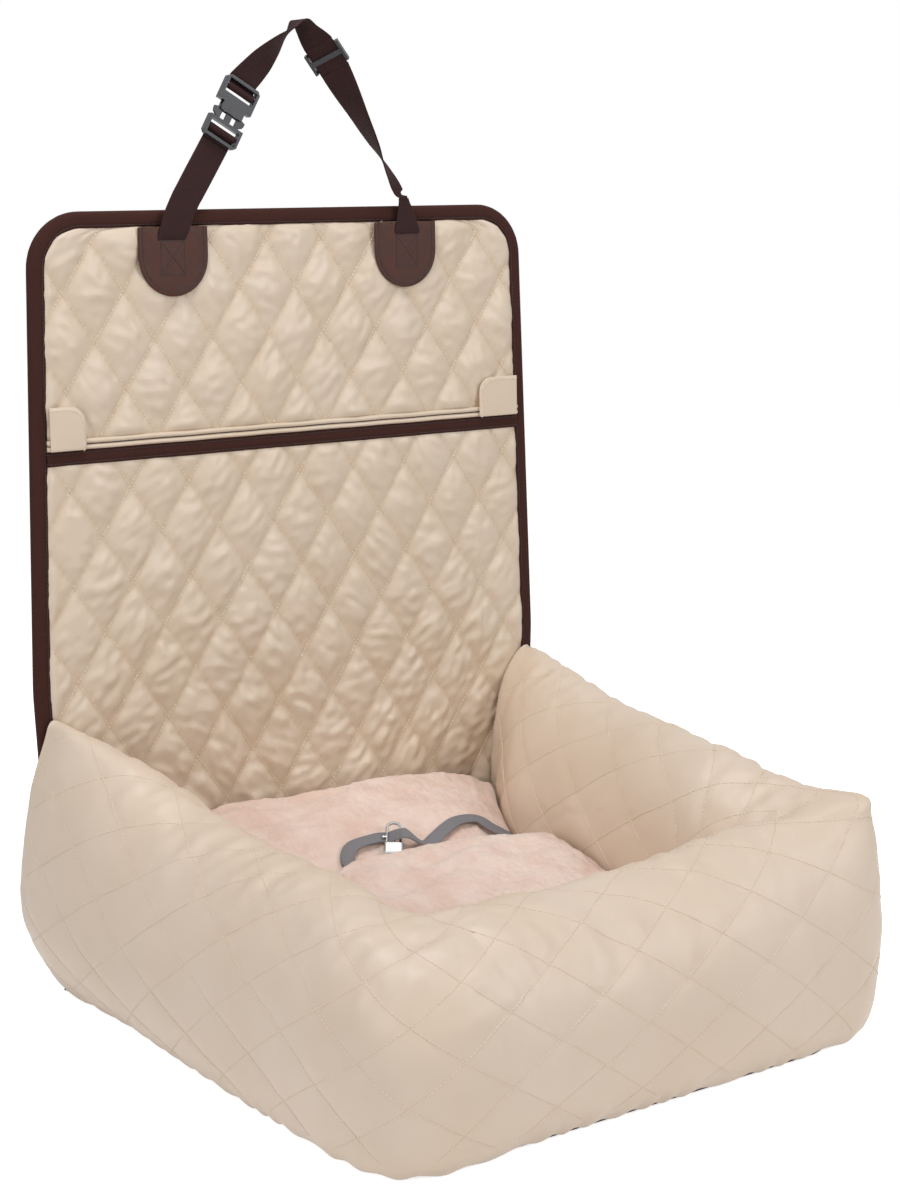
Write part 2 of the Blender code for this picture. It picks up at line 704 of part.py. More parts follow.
def build_wall(frame):
    """Fixed lower part of the back panel, sewn to the bed."""
    inset = BINDING_WIDTH + GAP
    low = SOFT_BOTTOM + GAP
    face_outline = wall_outline(inset, low - OVERRUN, FOLD_HEIGHT + OVERRUN)
    build_quilt("wall_quilt", low, FOLD_HEIGHT - GAP / 2, face_outline, frame, (0, 0, 0), "top")
    edge = BINDING_CLOTH + GAP
    top = FOLD_HEIGHT - FOLD_RELIEF_BOARD
    board = plate_mesh("wall_board", wall_outline(edge, low, top), BOARD_FRONT, BOARD_BACK)
    add_part("wall_board", board, BOARD, frame)
    top = FOLD_HEIGHT - FOLD_RELIEF_BACK
    cloth = plate_mesh("wall_back", wall_outline(edge, low, top), CLOTH_FRONT, CLOTH_BACK)
    add_part("wall_back", cloth, LINING, frame)
    for side, word in ((-1, "left"), (1, "right")):
        name = "wall_binding_" + word
        outer = side_strip(side, 0, BINDING_WIDTH, low, top)
        inner = side_strip(side, BINDING_CLOTH, BINDING_WIDTH + OVERRUN, low - OVERRUN, top + OVERRUN)
        body = plate_mesh(name, outer, BINDING_FRONT, BINDING_BACK)
        part = add_part(name, body, DARK, frame)
        channel = plate_mesh(name + "_channel", inner, BINDING_FRONT + BINDING_CLOTH, BINDING_BACK - BINDING_CLOTH)
        combine(part, add_cutter(name + "_channel", channel, frame))


def side_strip(side, near, far, bottom, top):
    """Strip along one edge of the wall, between two distances in from the edge."""
    low, high = panel_half_width(SOFT_BOTTOM + GAP), panel_half_width(FOLD_HEIGHT)
    slope = (high - low) / (FOLD_HEIGHT - SOFT_BOTTOM - GAP)
    low_edge = low + slope * (bottom - SOFT_BOTTOM - GAP)
    high_edge = low + slope * (top - SOFT_BOTTOM - GAP)
    points = [(low_edge - near, bottom), (high_edge - near, top), (high_edge - far, top), (low_edge - far, bottom)]
    return [(side * x, z) for x, z in points]


def build_flap(axis):
    """Folding upper part of the panel: face, board, back cloth, binding and pocket."""
    down = (0, 0, -FOLD_HEIGHT)
    inset = BINDING_WIDTH + GAP
    start = FOLD_HEIGHT + GAP / 2
    face = flap_outline(inset, FOLD_HEIGHT - OVERRUN)
    build_quilt("pocket_quilt", start, BAND_BOTTOM - GAP, face, axis, down, "bottom")
    build_quilt("upper_quilt", ZIP_TOP + GAP, PANEL_HEIGHT, face, axis, down)
    edge = BINDING_CLOTH + GAP
    board = plate_mesh("flap_board", flap_outline(edge, FOLD_HEIGHT + FOLD_RELIEF_BOARD), BOARD_FRONT, BOARD_BACK)
    add_part("flap_board", board, BOARD, axis, down)
    cloth = plate_mesh("flap_back", flap_outline(edge, FOLD_HEIGHT + FOLD_RELIEF_BACK), CLOTH_FRONT, CLOTH_BACK)
    add_part("flap_back", cloth, LINING, axis, down)
    build_binding("flap_binding", flap_outline(0, FOLD_HEIGHT + FOLD_RELIEF_BACK),
                  flap_outline(BINDING_CLOTH, FOLD_HEIGHT - OVERRUN),
                  flap_outline(BINDING_WIDTH, FOLD_HEIGHT - OVERRUN), axis, down)
    half_low = panel_half_width(BAND_BOTTOM) - inset
    half_high = panel_half_width(BAND_TOP) - inset
    outline = [(half_low, BAND_BOTTOM), (half_high, BAND_TOP), (-half_high, BAND_TOP), (-half_low, BAND_BOTTOM)]
    band = add_part("pocket_band", plate_mesh("pocket_band", outline, LIP_DEPTH, QUILT_THICKNESS), DARK, axis, down)
    bevel(band, LIP_THICKNESS)


def build_zip(axis):
    """Concealed zip above the pocket band: tape, coil, two lips and two end covers."""
    down = (0, 0, -FOLD_HEIGHT)
    half = panel_half_width(ZIP_TOP) - BINDING_WIDTH - GAP
    low, high = BAND_TOP + GAP, ZIP_TOP - GAP
    tape_front = QUILT_THICKNESS - ZIP_TAPE_THICKNESS
    tape = block_mesh("zip_tape", (-half, tape_front, low), (half, QUILT_THICKNESS, high))
    add_part("zip_tape", tape, LINING, axis, down)
    coil_back = tape_front - GAP
    coil = block_mesh("zip_coil", (-half, coil_back - ZIP_COIL_DEPTH, ZIP_MIDDLE - ZIP_COIL_WIDTH / 2),
                      (half, coil_back, ZIP_MIDDLE + ZIP_COIL_WIDTH / 2))
    bevel(add_part("zip_coil", coil, PLASTIC, axis, down), ZIP_COIL_DEPTH / 4)
    for word, bottom, top in (("lower", low, ZIP_MIDDLE - ZIP_SLIT / 2), ("upper", ZIP_MIDDLE + ZIP_SLIT / 2, high)):
        lip = block_mesh("zip_lip", (-half, LIP_DEPTH, bottom), (half, LIP_DEPTH + LIP_THICKNESS, top))
        bevel(add_part("zip_lip_" + word, lip, CREAM, axis, down), LIP_THICKNESS / 4)
    for side, word, width in ((-1, "left", GARAGE_LEFT_WIDTH), (1, "right", GARAGE_RIGHT_WIDTH)):
        build_garage(side, word, width, half, axis, down)


def build_garage(side, word, width, half, axis, down):
    """Cloth cover over an end of the zip, sewn at its top and outer edge and open elsewhere."""
    name = "zip_cover_" + word
    bottom = BAND_TOP + GAP
    top = bottom + GARAGE_HEIGHT
    outer = half - GAP
    inner = outer - width
    corner = arc(inner + GARAGE_RADIUS, top - GARAGE_RADIUS, GARAGE_RADIUS, 180, 90, 5)
    points = [(outer, bottom), (inner, bottom)] + corner + [(outer, top)]
    outline = [(side * x, z) for x, z in points]
    cover = add_part(name, plate_mesh(name, outline, -GAP - GARAGE_DEPTH, -GAP), CREAM, axis, down)
    rim = GARAGE_CLOTH
    hollow_low = (side * (inner - OVERRUN), GARAGE_CLOTH - GAP - GARAGE_DEPTH, bottom - OVERRUN)
    hollow_high = (side * (outer - rim), OVERRUN, top - GARAGE_RADIUS)
    low = tuple(min(a, b) for a, b in zip(hollow_low, hollow_high))
    high = tuple(max(a, b) for a, b in zip(hollow_low, hollow_high))
    combine(cover, add_cutter(name + "_hollow", block_mesh(name, low, high), axis, down))


def build_slider(axis):
    """Zip slider that straddles the coil, and its cloth pull outside the lips."""
    place = (SLIDER_X, 0, ZIP_MIDDLE - FOLD_HEIGHT)
    marker = add_empty("zip_slider_axis", axis, place)
    lip_back = LIP_DEPTH + LIP_THICKNESS
    top = lip_back + GAP
    coil_front = QUILT_THICKNESS - ZIP_TAPE_THICKNESS - GAP - ZIP_COIL_DEPTH
    half, width = SLIDER_LENGTH / 2, SLIDER_WIDTH / 2
    foot = QUILT_THICKNESS - ZIP_TAPE_THICKNESS - 2 * GAP
    body = add_part("zip_slider", block_mesh("zip_slider", (-half, top, -width), (half, foot, width)), CHROME, marker)
    tunnel = block_mesh("slider_tunnel", (-half - OVERRUN, coil_front - GAP, SLIDER_WALL - width),
                        (half + OVERRUN, foot + OVERRUN, width - SLIDER_WALL))
    combine(body, add_cutter("slider_tunnel", tunnel, marker))
    neck = ZIP_SLIT / 2 - GAP
    back = top - GAP
    pull = add_part("zip_pull", block_mesh("zip_pull", (-PULL_WIDTH / 2, -GAP - PULL_THICKNESS, -PULL_LENGTH),
                                           (PULL_WIDTH / 2, -GAP, neck)), DARK, marker)
    stem = add_cutter("pull_stem", block_mesh("pull_stem", (-PULL_WIDTH / 3, -2 * GAP, -neck),
                                              (PULL_WIDTH / 3, back, neck)), marker)
    combine(pull, stem, "UNION")


def build_patches(axis):
    """Leather patches and the sewn webbing tails under the headrest strap."""
    down = (0, 0, -FOLD_HEIGHT)
    top = PANEL_HEIGHT - BINDING_WIDTH - GAP
    radius = PATCH_WIDTH / 2
    for word, middle in (("left", PATCH_LEFT_X), ("right", PATCH_RIGHT_X)):
        bow = [(x, z) for x, z in arc(0, top - PATCH_HEIGHT + radius, radius, 180, 360, 14)]
        outline = [(middle + radius, top), (middle - radius, top)] + [(middle + x, z) for x, z in bow]
        mesh = plate_mesh("patch_" + word, outline, -GAP - PATCH_THICKNESS, -GAP)
        bevel(add_part("patch_" + word, mesh, LEATHER, axis, down), PATCH_THICKNESS / 3)
        half = WEB_WIDTH / 2
        tail = block_mesh("strap_tail", (middle - half, TAIL_FRONT - WEB_THICKNESS, TAIL_TOP - TAIL_HEIGHT),
                          (middle + half, TAIL_FRONT, TAIL_TOP))
        add_part("strap_tail_" + word, tail, DARK, axis, down)


# Headrest strap


def ribbon_mesh(name, stations, thickness):
    """Flat webbing through stations of (place, direction across, width)."""
    rings = []
    for index, (place, across, width) in enumerate(stations):
        before = Vector(stations[max(index - 1, 0)][0])
        after = Vector(stations[min(index + 1, len(stations) - 1)][0])
        forward = (after - before).normalized()
        across = Vector(across).normalized()
        normal = across.cross(forward).normalized()
        half, thin = across * width / 2, normal * thickness / 2
        middle = Vector(place)
        rings.append([middle + half + thin, middle - half + thin, middle - half - thin, middle + half - thin])
    return loft_mesh(name, rings)


def buckle_point(across, depth, up):
    """Place in the panel's frame of a point given along the buckle."""
    x = BUCKLE_X + across * math.cos(BUCKLE_TURN) + up * math.sin(BUCKLE_TURN)
    z = BUCKLE_HEIGHT - across * math.sin(BUCKLE_TURN) + up * math.cos(BUCKLE_TURN)
    return (x, STRAP_DEPTH + depth, z)


def bar_places():
    """Middle of the inner bar and of the slot beside it, measured from the buckle's middle."""
    slot = BUCKLE_HALF_LENGTH - BAR_WIDTH - BAR_SLOT / 2
    bar = slot - BAR_SLOT / 2 - INNER_BAR_HALF_WIDTH
    return slot, bar


def wrap_stations(sign):
    """Webbing behind the outer bar, through the slot and round the inner bar of one half."""
    slot, bar = bar_places()
    reach = math.hypot(INNER_BAR_HALF_WIDTH, INNER_BAR_HALF_DEPTH) + GAP + WEB_THICKNESS / 2
    behind = BUCKLE_THICKNESS / 4 + GAP + WEB_THICKNESS / 2
    across = (math.cos(BUCKLE_TURN), 0, -math.sin(BUCKLE_TURN))
    path = [(BUCKLE_HALF_LENGTH + RUN, behind), (slot + BAR_SLOT / 2 - GAP, behind), (slot, behind * 0.2)]
    for step in range(9):
        angle = math.radians(-50 + 230 * step / 8)
        path.append((bar - reach * math.sin(angle), -reach * math.cos(angle)))
    return [(buckle_point(0, depth, sign * up), across, WEB_WIDTH) for up, depth in path]


def build_strap_left(axis):
    """Left leg of the strap, from the panel to the lower half of the buckle."""
    offset = (0, -STRAP_DEPTH, -SWING_HEIGHT)
    across = (math.cos(BUCKLE_TURN), 0, -math.sin(BUCKLE_TURN))
    foot = [((LEFT_FOOT_X, STRAP_DEPTH, SWING_HEIGHT), (1, 0, 0), WEB_WIDTH),
            ((LEFT_FOOT_X, STRAP_DEPTH, SWING_HEIGHT + WEB_THICKNESS), (1, 0, 0), WEB_WIDTH)]
    lower = buckle_point(0, BUCKLE_THICKNESS / 4 + GAP + WEB_THICKNESS / 2, -BUCKLE_HALF_LENGTH - BAR_WIDTH)
    rise = Vector(lower) - Vector(foot[0][0])
    step_one = Vector(foot[0][0]) + rise * 0.16
    foot.append((tuple(step_one), (0.95, 0, -0.3), WEB_WIDTH))
    step_two = Vector(foot[0][0]) + rise * 0.4
    foot.append((tuple(step_two), across, WEB_WIDTH))
    foot.append((lower, across, WEB_WIDTH))
    stations = foot + wrap_stations(-1)
    add_part("strap_left", ribbon_mesh("strap_left", stations, WEB_THICKNESS), DARK, axis, offset)


def twisted(slope, twist):
    """Direction across the webbing where it runs at a slope and is turned about its run."""
    flat = Vector((math.sin(slope), 0, -math.cos(slope)))
    return tuple(flat * math.cos(twist) + Vector((0, 1, 0)) * math.sin(twist))


def build_strap_right(axis, offset):
    """Webbing from the upper half of the buckle over the apex and down the right leg."""
    up_slope = math.radians(60.0)
    behind = BUCKLE_THICKNESS / 4 + GAP + WEB_THICKNESS / 2
    stations = list(reversed(wrap_stations(1)))
    exit_up = BUCKLE_HALF_LENGTH + BAR_WIDTH
    stations.append((buckle_point(0, behind, exit_up), twisted(up_slope, 0.0), WEB_WIDTH))
    start = Vector(buckle_point(0, behind, exit_up))
    apex = Vector((APEX_X, STRAP_DEPTH, APEX_HEIGHT))
    for share, twist in ((0.3, 18), (0.6, 45), (0.85, 74)):
        place = start.lerp(apex, share)
        stations.append((tuple(place), twisted(math.radians(52.0), math.radians(twist)), WEB_WIDTH))
    middle = Vector((ADJUSTER_X, STRAP_DEPTH, ADJUSTER_HEIGHT))
    run = Vector((math.cos(ADJUSTER_SLOPE), 0, math.sin(ADJUSTER_SLOPE)))
    high = middle - run * STRAIGHT_STRETCH / 2
    low = middle + run * STRAIGHT_STRETCH / 2
    crest = apex + Vector((0, 0, WEB_THICKNESS))
    stations.append((tuple(crest), (0, 1, 0), WEB_WIDTH))
    side = twisted(ADJUSTER_SLOPE, ADJUSTER_TWIST)
    stations.append((tuple(crest.lerp(high, 0.45)), twisted(math.radians(-35.0), math.radians(76.0)), WEB_WIDTH))
    for share in (0.0, 0.07, 0.93, 1.0):
        stations.append((tuple(high.lerp(low, share)), side, WEB_WIDTH))
    foot = Vector((RIGHT_FOOT_X, STRAP_DEPTH, SWING_HEIGHT))
    for share, twist, width_share in ((0.3, 82, 0.98), (0.58, 106, 0.95), (0.8, 140, 0.62), (0.93, 172, 0.4)):
        place = low.lerp(foot, share)
        stations.append((tuple(place), twisted(math.radians(-58.0), math.radians(twist)), WEB_WIDTH * width_share))
    stations.append((tuple(foot + Vector((0, 0, 3 * WEB_THICKNESS))), (-1, 0, 0), RIGHT_FOOT_WIDTH))
    stations.append((tuple(foot), (-1, 0, 0), RIGHT_FOOT_WIDTH))
    add_part("strap_right", ribbon_mesh("strap_right", stations, WEB_THICKNESS), DARK, axis, offset)


def build_buckle_half(name, sign, parent, location, shoulder):
    """Webbing end of a buckle half: two bars, a slot and a see-through window."""
    slot, bar = bar_places()
    half = BUCKLE_HALF_WIDTH
    end = BUCKLE_HALF_LENGTH
    corner = BAR_WIDTH
    points = [(half, shoulder), (half, end - corner), (half - corner, end)]
    outline = points + [(-x, z) for x, z in reversed(points)]
    outline = [(x, sign * z) for x, z in outline]
    thick = BUCKLE_THICKNESS / 2
    frame = add_part(name, plate_mesh(name, outline, -thick, thick), PLASTIC, parent, location)
    frame.rotation_euler = (0, BUCKLE_TURN, 0)
    window_top = bar - INNER_BAR_HALF_WIDTH
    reach = BAR_SLOT / 2
    cuts = [
        ("slot", -SLOT_HALF_WIDTH, SLOT_HALF_WIDTH, slot - BAR_SLOT / 2, slot + BAR_SLOT / 2, -thick, thick),
        ("window", -SLOT_HALF_WIDTH, SLOT_HALF_WIDTH, window_top - BUCKLE_WINDOW, window_top, -thick, thick),
        ("back", -SLOT_HALF_WIDTH, SLOT_HALF_WIDTH, slot - BAR_SLOT / 4, end, BUCKLE_THICKNESS / 4, thick),
        ("bar_front", -SLOT_HALF_WIDTH, SLOT_HALF_WIDTH, bar - reach, bar + reach, -thick, -INNER_BAR_HALF_DEPTH),
        ("bar_back", -SLOT_HALF_WIDTH, SLOT_HALF_WIDTH, bar - reach, bar + reach, INNER_BAR_HALF_DEPTH, thick),
    ]
    for word, left, right, low, high, front, back in cuts:
        low, high = sorted((sign * low, sign * high))
        if word == "back":
            low -= OVERRUN if sign < 0 else 0
            high += OVERRUN if sign > 0 else 0
        front -= OVERRUN if front == -thick else 0
        back += OVERRUN if back == thick else 0
        tool = add_cutter(name + "_" + word, block_mesh(word, (left, front, low), (right, back, high)), parent, location)
        tool.rotation_euler = (0, BUCKLE_TURN, 0)
        combine(frame, tool)
    return frame


def build_buckle(swing, release):
    """Side-release buckle: a lower half with two sprung prongs and an upper half with a socket."""
    slot, bar = bar_places()
    window_low = bar - INNER_BAR_HALF_WIDTH - BUCKLE_WINDOW
    place = (BUCKLE_X, 0, BUCKLE_HEIGHT - SWING_HEIGHT)
    root = window_low - BAR_WIDTH
    male = build_buckle_half("buckle_lower", -1, swing, place, root)
    tongue = block_mesh("tongue", (-TONGUE_HALF_WIDTH, -PRONG_THICKNESS / 2, -root - BAR_WIDTH / 2),
                        (TONGUE_HALF_WIDTH, PRONG_THICKNESS / 2, -root + TONGUE_LENGTH))
    tool = add_cutter("tongue", tongue, swing, place)
    tool.rotation_euler = (0, BUCKLE_TURN, 0)
    combine(male, tool, "UNION")
    bevel(male, PLASTIC_BEVEL, 1)
    female = build_buckle_half("buckle_upper", 1, release[0], release[1], HOUSING_MOUTH)
    socket = block_mesh("socket", (-SOCKET_HALF_WIDTH, -PRONG_THICKNESS / 2 - RUN, HOUSING_MOUTH - OVERRUN),
                        (SOCKET_HALF_WIDTH, PRONG_THICKNESS / 2 + RUN, SOCKET_DEPTH))
    tool = add_cutter("socket", socket, release[0], release[1])
    tool.rotation_euler = (0, BUCKLE_TURN, 0)
    combine(female, tool)
    side_low = HOUSING_MOUTH - OVERRUN
    for side in (-1, 1):
        inner, outer = sorted((side * (PRONG_X + PRONG_WIDTH / 2), side * (BUCKLE_HALF_WIDTH + OVERRUN)))
        cut = block_mesh("side_cut", (inner, -BUCKLE_THICKNESS, side_low), (outer, BUCKLE_THICKNESS, PRONG_BARB))
        tool = add_cutter("side_cut", cut, release[0], release[1])
        tool.rotation_euler = (0, BUCKLE_TURN, 0)
        combine(female, tool)
    bevel(female, PLASTIC_BEVEL, 1)
    build_prongs(swing, place, root)


def build_prongs(swing, place, root):
    """Two sprung side arms with bulging grips and barbs inside the socket."""
    half = PRONG_WIDTH / 2
    grip = BUCKLE_HALF_WIDTH - PRONG_X - half / 2
    bottom = -root + GAP
    top = bottom + PRONG_LENGTH
    points = [(-half, bottom), (half, bottom), (half + 0.6 * grip, bottom + 0.22 * PRONG_LENGTH),
              (grip, bottom + 0.42 * PRONG_LENGTH), (grip, bottom + 0.60 * PRONG_LENGTH),
              (half + 0.5 * half, bottom + 0.70 * PRONG_LENGTH), (half, top - half / 2), (half / 2, top),
              (-half, top), (-half, bottom + 0.5 * PRONG_LENGTH)]
    for side, word in ((-1, "left"), (1, "right")):
        turn = Matrix.Rotation(BUCKLE_TURN, 4, "Y")
        offset = turn @ Vector((side * PRONG_X, 0, bottom))
        pivot = add_empty("prong_axis_" + word, swing, Vector(place) + offset, (0, BUCKLE_TURN, 0))
        outline = [(side * x, z - bottom) for x, z in points]
        mesh = plate_mesh("prong", outline, -PRONG_THICKNESS / 2, PRONG_THICKNESS / 2)
        bevel(add_part("buckle_prong_" + word, mesh, PLASTIC, pivot), PLASTIC_BEVEL / 2, 1)


def build_adjuster(parent, offset):
    """Small ladder slider on the right leg: end bars in front of the webbing, middle bar behind."""
    run = Vector((math.cos(ADJUSTER_SLOPE), 0, math.sin(ADJUSTER_SLOPE)))
    across = Vector(twisted(ADJUSTER_SLOPE, ADJUSTER_TWIST))
    normal = run.cross(across)
    if normal.y > 0:
        across, normal = -across, -normal
    turn = Matrix((across, normal, run)).transposed()
    marker = add_empty("adjuster_axis", parent)
    middle = Vector((ADJUSTER_X, STRAP_DEPTH, ADJUSTER_HEIGHT)) + Vector(offset)
    marker.location = middle
    marker.rotation_euler = turn.to_euler()
    half = ADJUSTER_LENGTH / 2
    near = WEB_THICKNESS / 2 + GAP
    thick = near + ADJUSTER_BAR_THICKNESS
    side = ADJUSTER_HALF_WIDTH
    inner = WEB_WIDTH / 2 + RUN
    body = add_part("strap_adjuster", block_mesh("strap_adjuster", (-side, -thick, -half), (side, thick, half)),
                    PLASTIC, marker)
    bar = ADJUSTER_BAR
    cuts = [
        ((-inner, -near, -half - OVERRUN), (inner, thick + OVERRUN, -bar / 2 - RUN)),
        ((-inner, -near, bar / 2 + RUN), (inner, thick + OVERRUN, half + OVERRUN)),
        ((-inner, -near, -half), (inner, near, half)),
        ((-inner, -thick - OVERRUN, bar - half), (inner, near, half - bar)),
    ]
    for index, (low, high) in enumerate(cuts):
        combine(body, add_cutter(f"adjuster_cut_{index}", block_mesh("adjuster_cut", low, high), marker))
    bevel(body, PLASTIC_BEVEL / 2, 1)


# Tether and bolt snap


def hook_frame():
    """Turn of the bolt snap: its length runs up and away, and its face looks up."""
    level = Vector((math.sin(HOOK_AZIMUTH), math.cos(HOOK_AZIMUTH), 0))
    axis = level * math.cos(HOOK_TILT) + Vector((0, 0, math.sin(HOOK_TILT)))
    across = Vector((math.cos(HOOK_AZIMUTH), -math.sin(HOOK_AZIMUTH), 0))
    up = across.cross(axis)
    return axis, across, up


def hook_point(across, up, length):
    """Place in the world of a point given along the bolt snap."""
    axis, side, normal = hook_frame()
    return Vector(HOOK_PLACE) + side * across + normal * up + axis * length


# Route of the tether, as chosen places: where it leaves the seam beside the pad, over the slope,
# through the snap, round behind the hump and back to the snap's eye
ROUTE_BEFORE = ((0.1500, 0.1205, 0.1190), (0.1430, 0.1225, 0.1220), (0.1315, 0.1305, 0.1290),
                (0.1205, 0.1415, 0.1370), (0.0980, 0.1415, 0.1390), (0.0780, 0.1345, 0.1360),
                (0.0600, 0.1275, 0.1310), (0.0460, 0.1230, 0.1285))
THROUGH_HOOK = ((0.0135, 0.0030, 0.0350), (0.0068, 0.0031, 0.0350), (0.0035, 0.0018, 0.0350), (0.0, 0.0, 0.0350),
                (-0.0035, -0.0018, 0.0350), (-0.0068, -0.0031, 0.0350), (-0.0135, -0.0028, 0.0350))
ROUTE_AFTER = ((-0.0080, 0.1380, 0.1392), (-0.0180, 0.1375, 0.1388), (-0.0290, 0.1355, 0.1376),
               (-0.0380, 0.1305, 0.1340), (-0.0440, 0.1225, 0.1282), (-0.0430, 0.1115, 0.1218),
               (-0.0360, 0.1035, 0.1202), (-0.0260, 0.1005, 0.1198))


def smooth_route(points, step):
    """Read places at an even step along a smooth curve through chosen places."""
    dense = []
    for index in range(len(points) - 1):
        before = points[max(index - 1, 0)]
        after = points[min(index + 2, len(points) - 1)]
        here, there = points[index], points[index + 1]
        for part in range(12):
            t = part / 12
            place = 0.5 * ((2 * here) + (there - before) * t + (2 * before - 5 * here + 4 * there - after) * t ** 2
                           + (3 * here - before - 3 * there + after) * t ** 3)
            dense.append(place)
    dense.append(points[-1])
    length = sum((b - a).length for a, b in zip(dense, dense[1:]))
    count = max(2, round(length / step))
    route, travelled, target = [dense[0]], 0.0, length / count
    for a, b in zip(dense, dense[1:]):
        piece = (b - a).length
        while piece > 0 and travelled + piece >= target - GAP / 100 and len(route) < count:
            route.append(a.lerp(b, (target - travelled) / piece))
            target += length / count
        travelled += piece
    route.append(dense[-1])
    return route


def tether_points():
    """Chosen places of the tether in the world."""
    points = [Vector(place) for place in ROUTE_BEFORE]
    points += [hook_point(*place) for place in THROUGH_HOOK]
    points += [Vector(place) for place in ROUTE_AFTER]
    axis, side, up = hook_frame()
    end = Vector(HOOK_PLACE) - axis * (EYE_WIRE + GAP + TETHER_THICKNESS / 2)
    level = Vector((axis.x, axis.y, 0)).normalized()
    points += [end - level * TETHER_WIDTH / 2, end]
    return points


def build_tether():
    """Flat webbing of the tether along its route, lying on the pad."""
    route = smooth_route(tether_points(), TETHER_STEP)
    axis, side, up = hook_frame()
    stations = []
    for index, place in enumerate(route):
        forward = (route[min(index + 1, len(route) - 1)] - route[max(index - 1, 0)]).normalized()
        slope = (pad_height(place.y + END_LOOP) - pad_height(place.y - END_LOOP)) / (2 * END_LOOP)
        normal = Vector((0, -slope, 1)).normalized()
        nearness = min(1.0, (place - hook_point(0, 0, HOOK_GATE)).length / (2 * TETHER_WIDTH))
        normal = (up * (1 - nearness) + normal * nearness).normalized()
        if index == len(route) - 1:
            normal = up
        stations.append((tuple(place), tuple(forward.cross(normal)), TETHER_WIDTH))
    add_part("tether_strap", ribbon_mesh("tether_strap", stations, TETHER_THICKNESS), GREY_WEB)


def build_hook():
    """Bolt snap: swivel eye, barrel with hook, and a sliding bolt with a thumb stub."""
    axis, side, up = hook_frame()
    turn = Matrix((side, -up, axis)).transposed()
    marker = add_empty("hook_axis", None, HOOK_PLACE)
    marker.rotation_euler = turn.to_euler()
    half = EYE_HALF_WIDTH - EYE_WIRE
    neck = BARREL_BOTTOM - GAP - EYE_WIRE
    ring = [(half * x / EYE_LENGTH, 0, z) for x, z in arc(0, EYE_LENGTH, EYE_LENGTH, 190, 350, 8)]
    ring += [(half * 0.7, 0, neck), (-half * 0.7, 0, neck)]
    eye = add_part("hook_eye", wire_mesh("hook_eye", ring, EYE_WIRE, closed=True), CHROME, marker)
    head_low = BARREL_BOTTOM + BARREL_LENGTH * 0.28
    pin = add_cutter("eye_pin", rod_mesh("eye_pin", PIN_RADIUS, (0, 0, neck - EYE_WIRE / 2), (0, 0, head_low + GAP), 16), marker)
    combine(eye, pin, "UNION")
    head = add_cutter("eye_head", rod_mesh("eye_head", PIN_HEAD_RADIUS, (0, 0, head_low), (0, 0, head_low + PIN_HEAD_LENGTH), 16), marker)
    combine(eye, head, "UNION")
    barrel_top = BARREL_BOTTOM + BARREL_LENGTH
    body = add_part("hook_body", block_mesh("hook_body", (-BARREL_HALF_WIDTH, -BARREL_HALF_DEPTH, BARREL_BOTTOM),
                                            (BARREL_HALF_WIDTH, BARREL_HALF_DEPTH, barrel_top)), CHROME, marker)
    bevel(body, BARREL_HALF_DEPTH * 0.6, 2)
    crook = [(HOOK_HALF_SPAN, 0, barrel_top - HOOK_WIRE)]
    crook += [(x, 0, z) for x, z in arc(0, HOOK_STRAIGHT_TOP, HOOK_HALF_SPAN, 0, 180, 10)]
    crook.append((-HOOK_HALF_SPAN, 0, HOOK_GATE))
    combine(body, add_cutter("crook", wire_mesh("crook", crook, HOOK_WIRE), marker), "UNION")
    bore = rod_mesh("pin_bore", PIN_RADIUS + GAP, (0, 0, BARREL_BOTTOM - OVERRUN), (0, 0, head_low + GAP), 16)
    combine(body, add_cutter("pin_bore", bore, marker))
    room = rod_mesh("head_room", PIN_HEAD_RADIUS + GAP, (0, 0, head_low - GAP), (0, 0, head_low + PIN_HEAD_LENGTH + GAP), 16)
    combine(body, add_cutter("head_room", room, marker))
    bolt_top = HOOK_GATE - GAP
    bolt_low = bolt_top - BOLT_LENGTH
    bolt_hole = rod_mesh("bolt_hole", BOLT_RADIUS + GAP, (-HOOK_HALF_SPAN, 0, bolt_low - BOLT_TRAVEL - GAP),
                         (-HOOK_HALF_SPAN, 0, barrel_top + OVERRUN), 16)
    combine(body, add_cutter("bolt_hole", bolt_hole, marker))
    slide = add_empty("bolt_axis", marker, (-HOOK_HALF_SPAN, 0, 0))
    bolt = add_part("hook_bolt", rod_mesh("hook_bolt", BOLT_RADIUS, (0, 0, bolt_low), (0, 0, bolt_top), 12), CHROME, slide)
    stub_z = barrel_top + BOLT_TRAVEL + THUMB_RADIUS + GAP
    stub = rod_mesh("thumb_stub", THUMB_RADIUS, (0, 0, stub_z), (-THUMB_LENGTH, 0, stub_z), 12)
    combine(bolt, add_cutter("thumb_stub", stub, slide), "UNION")


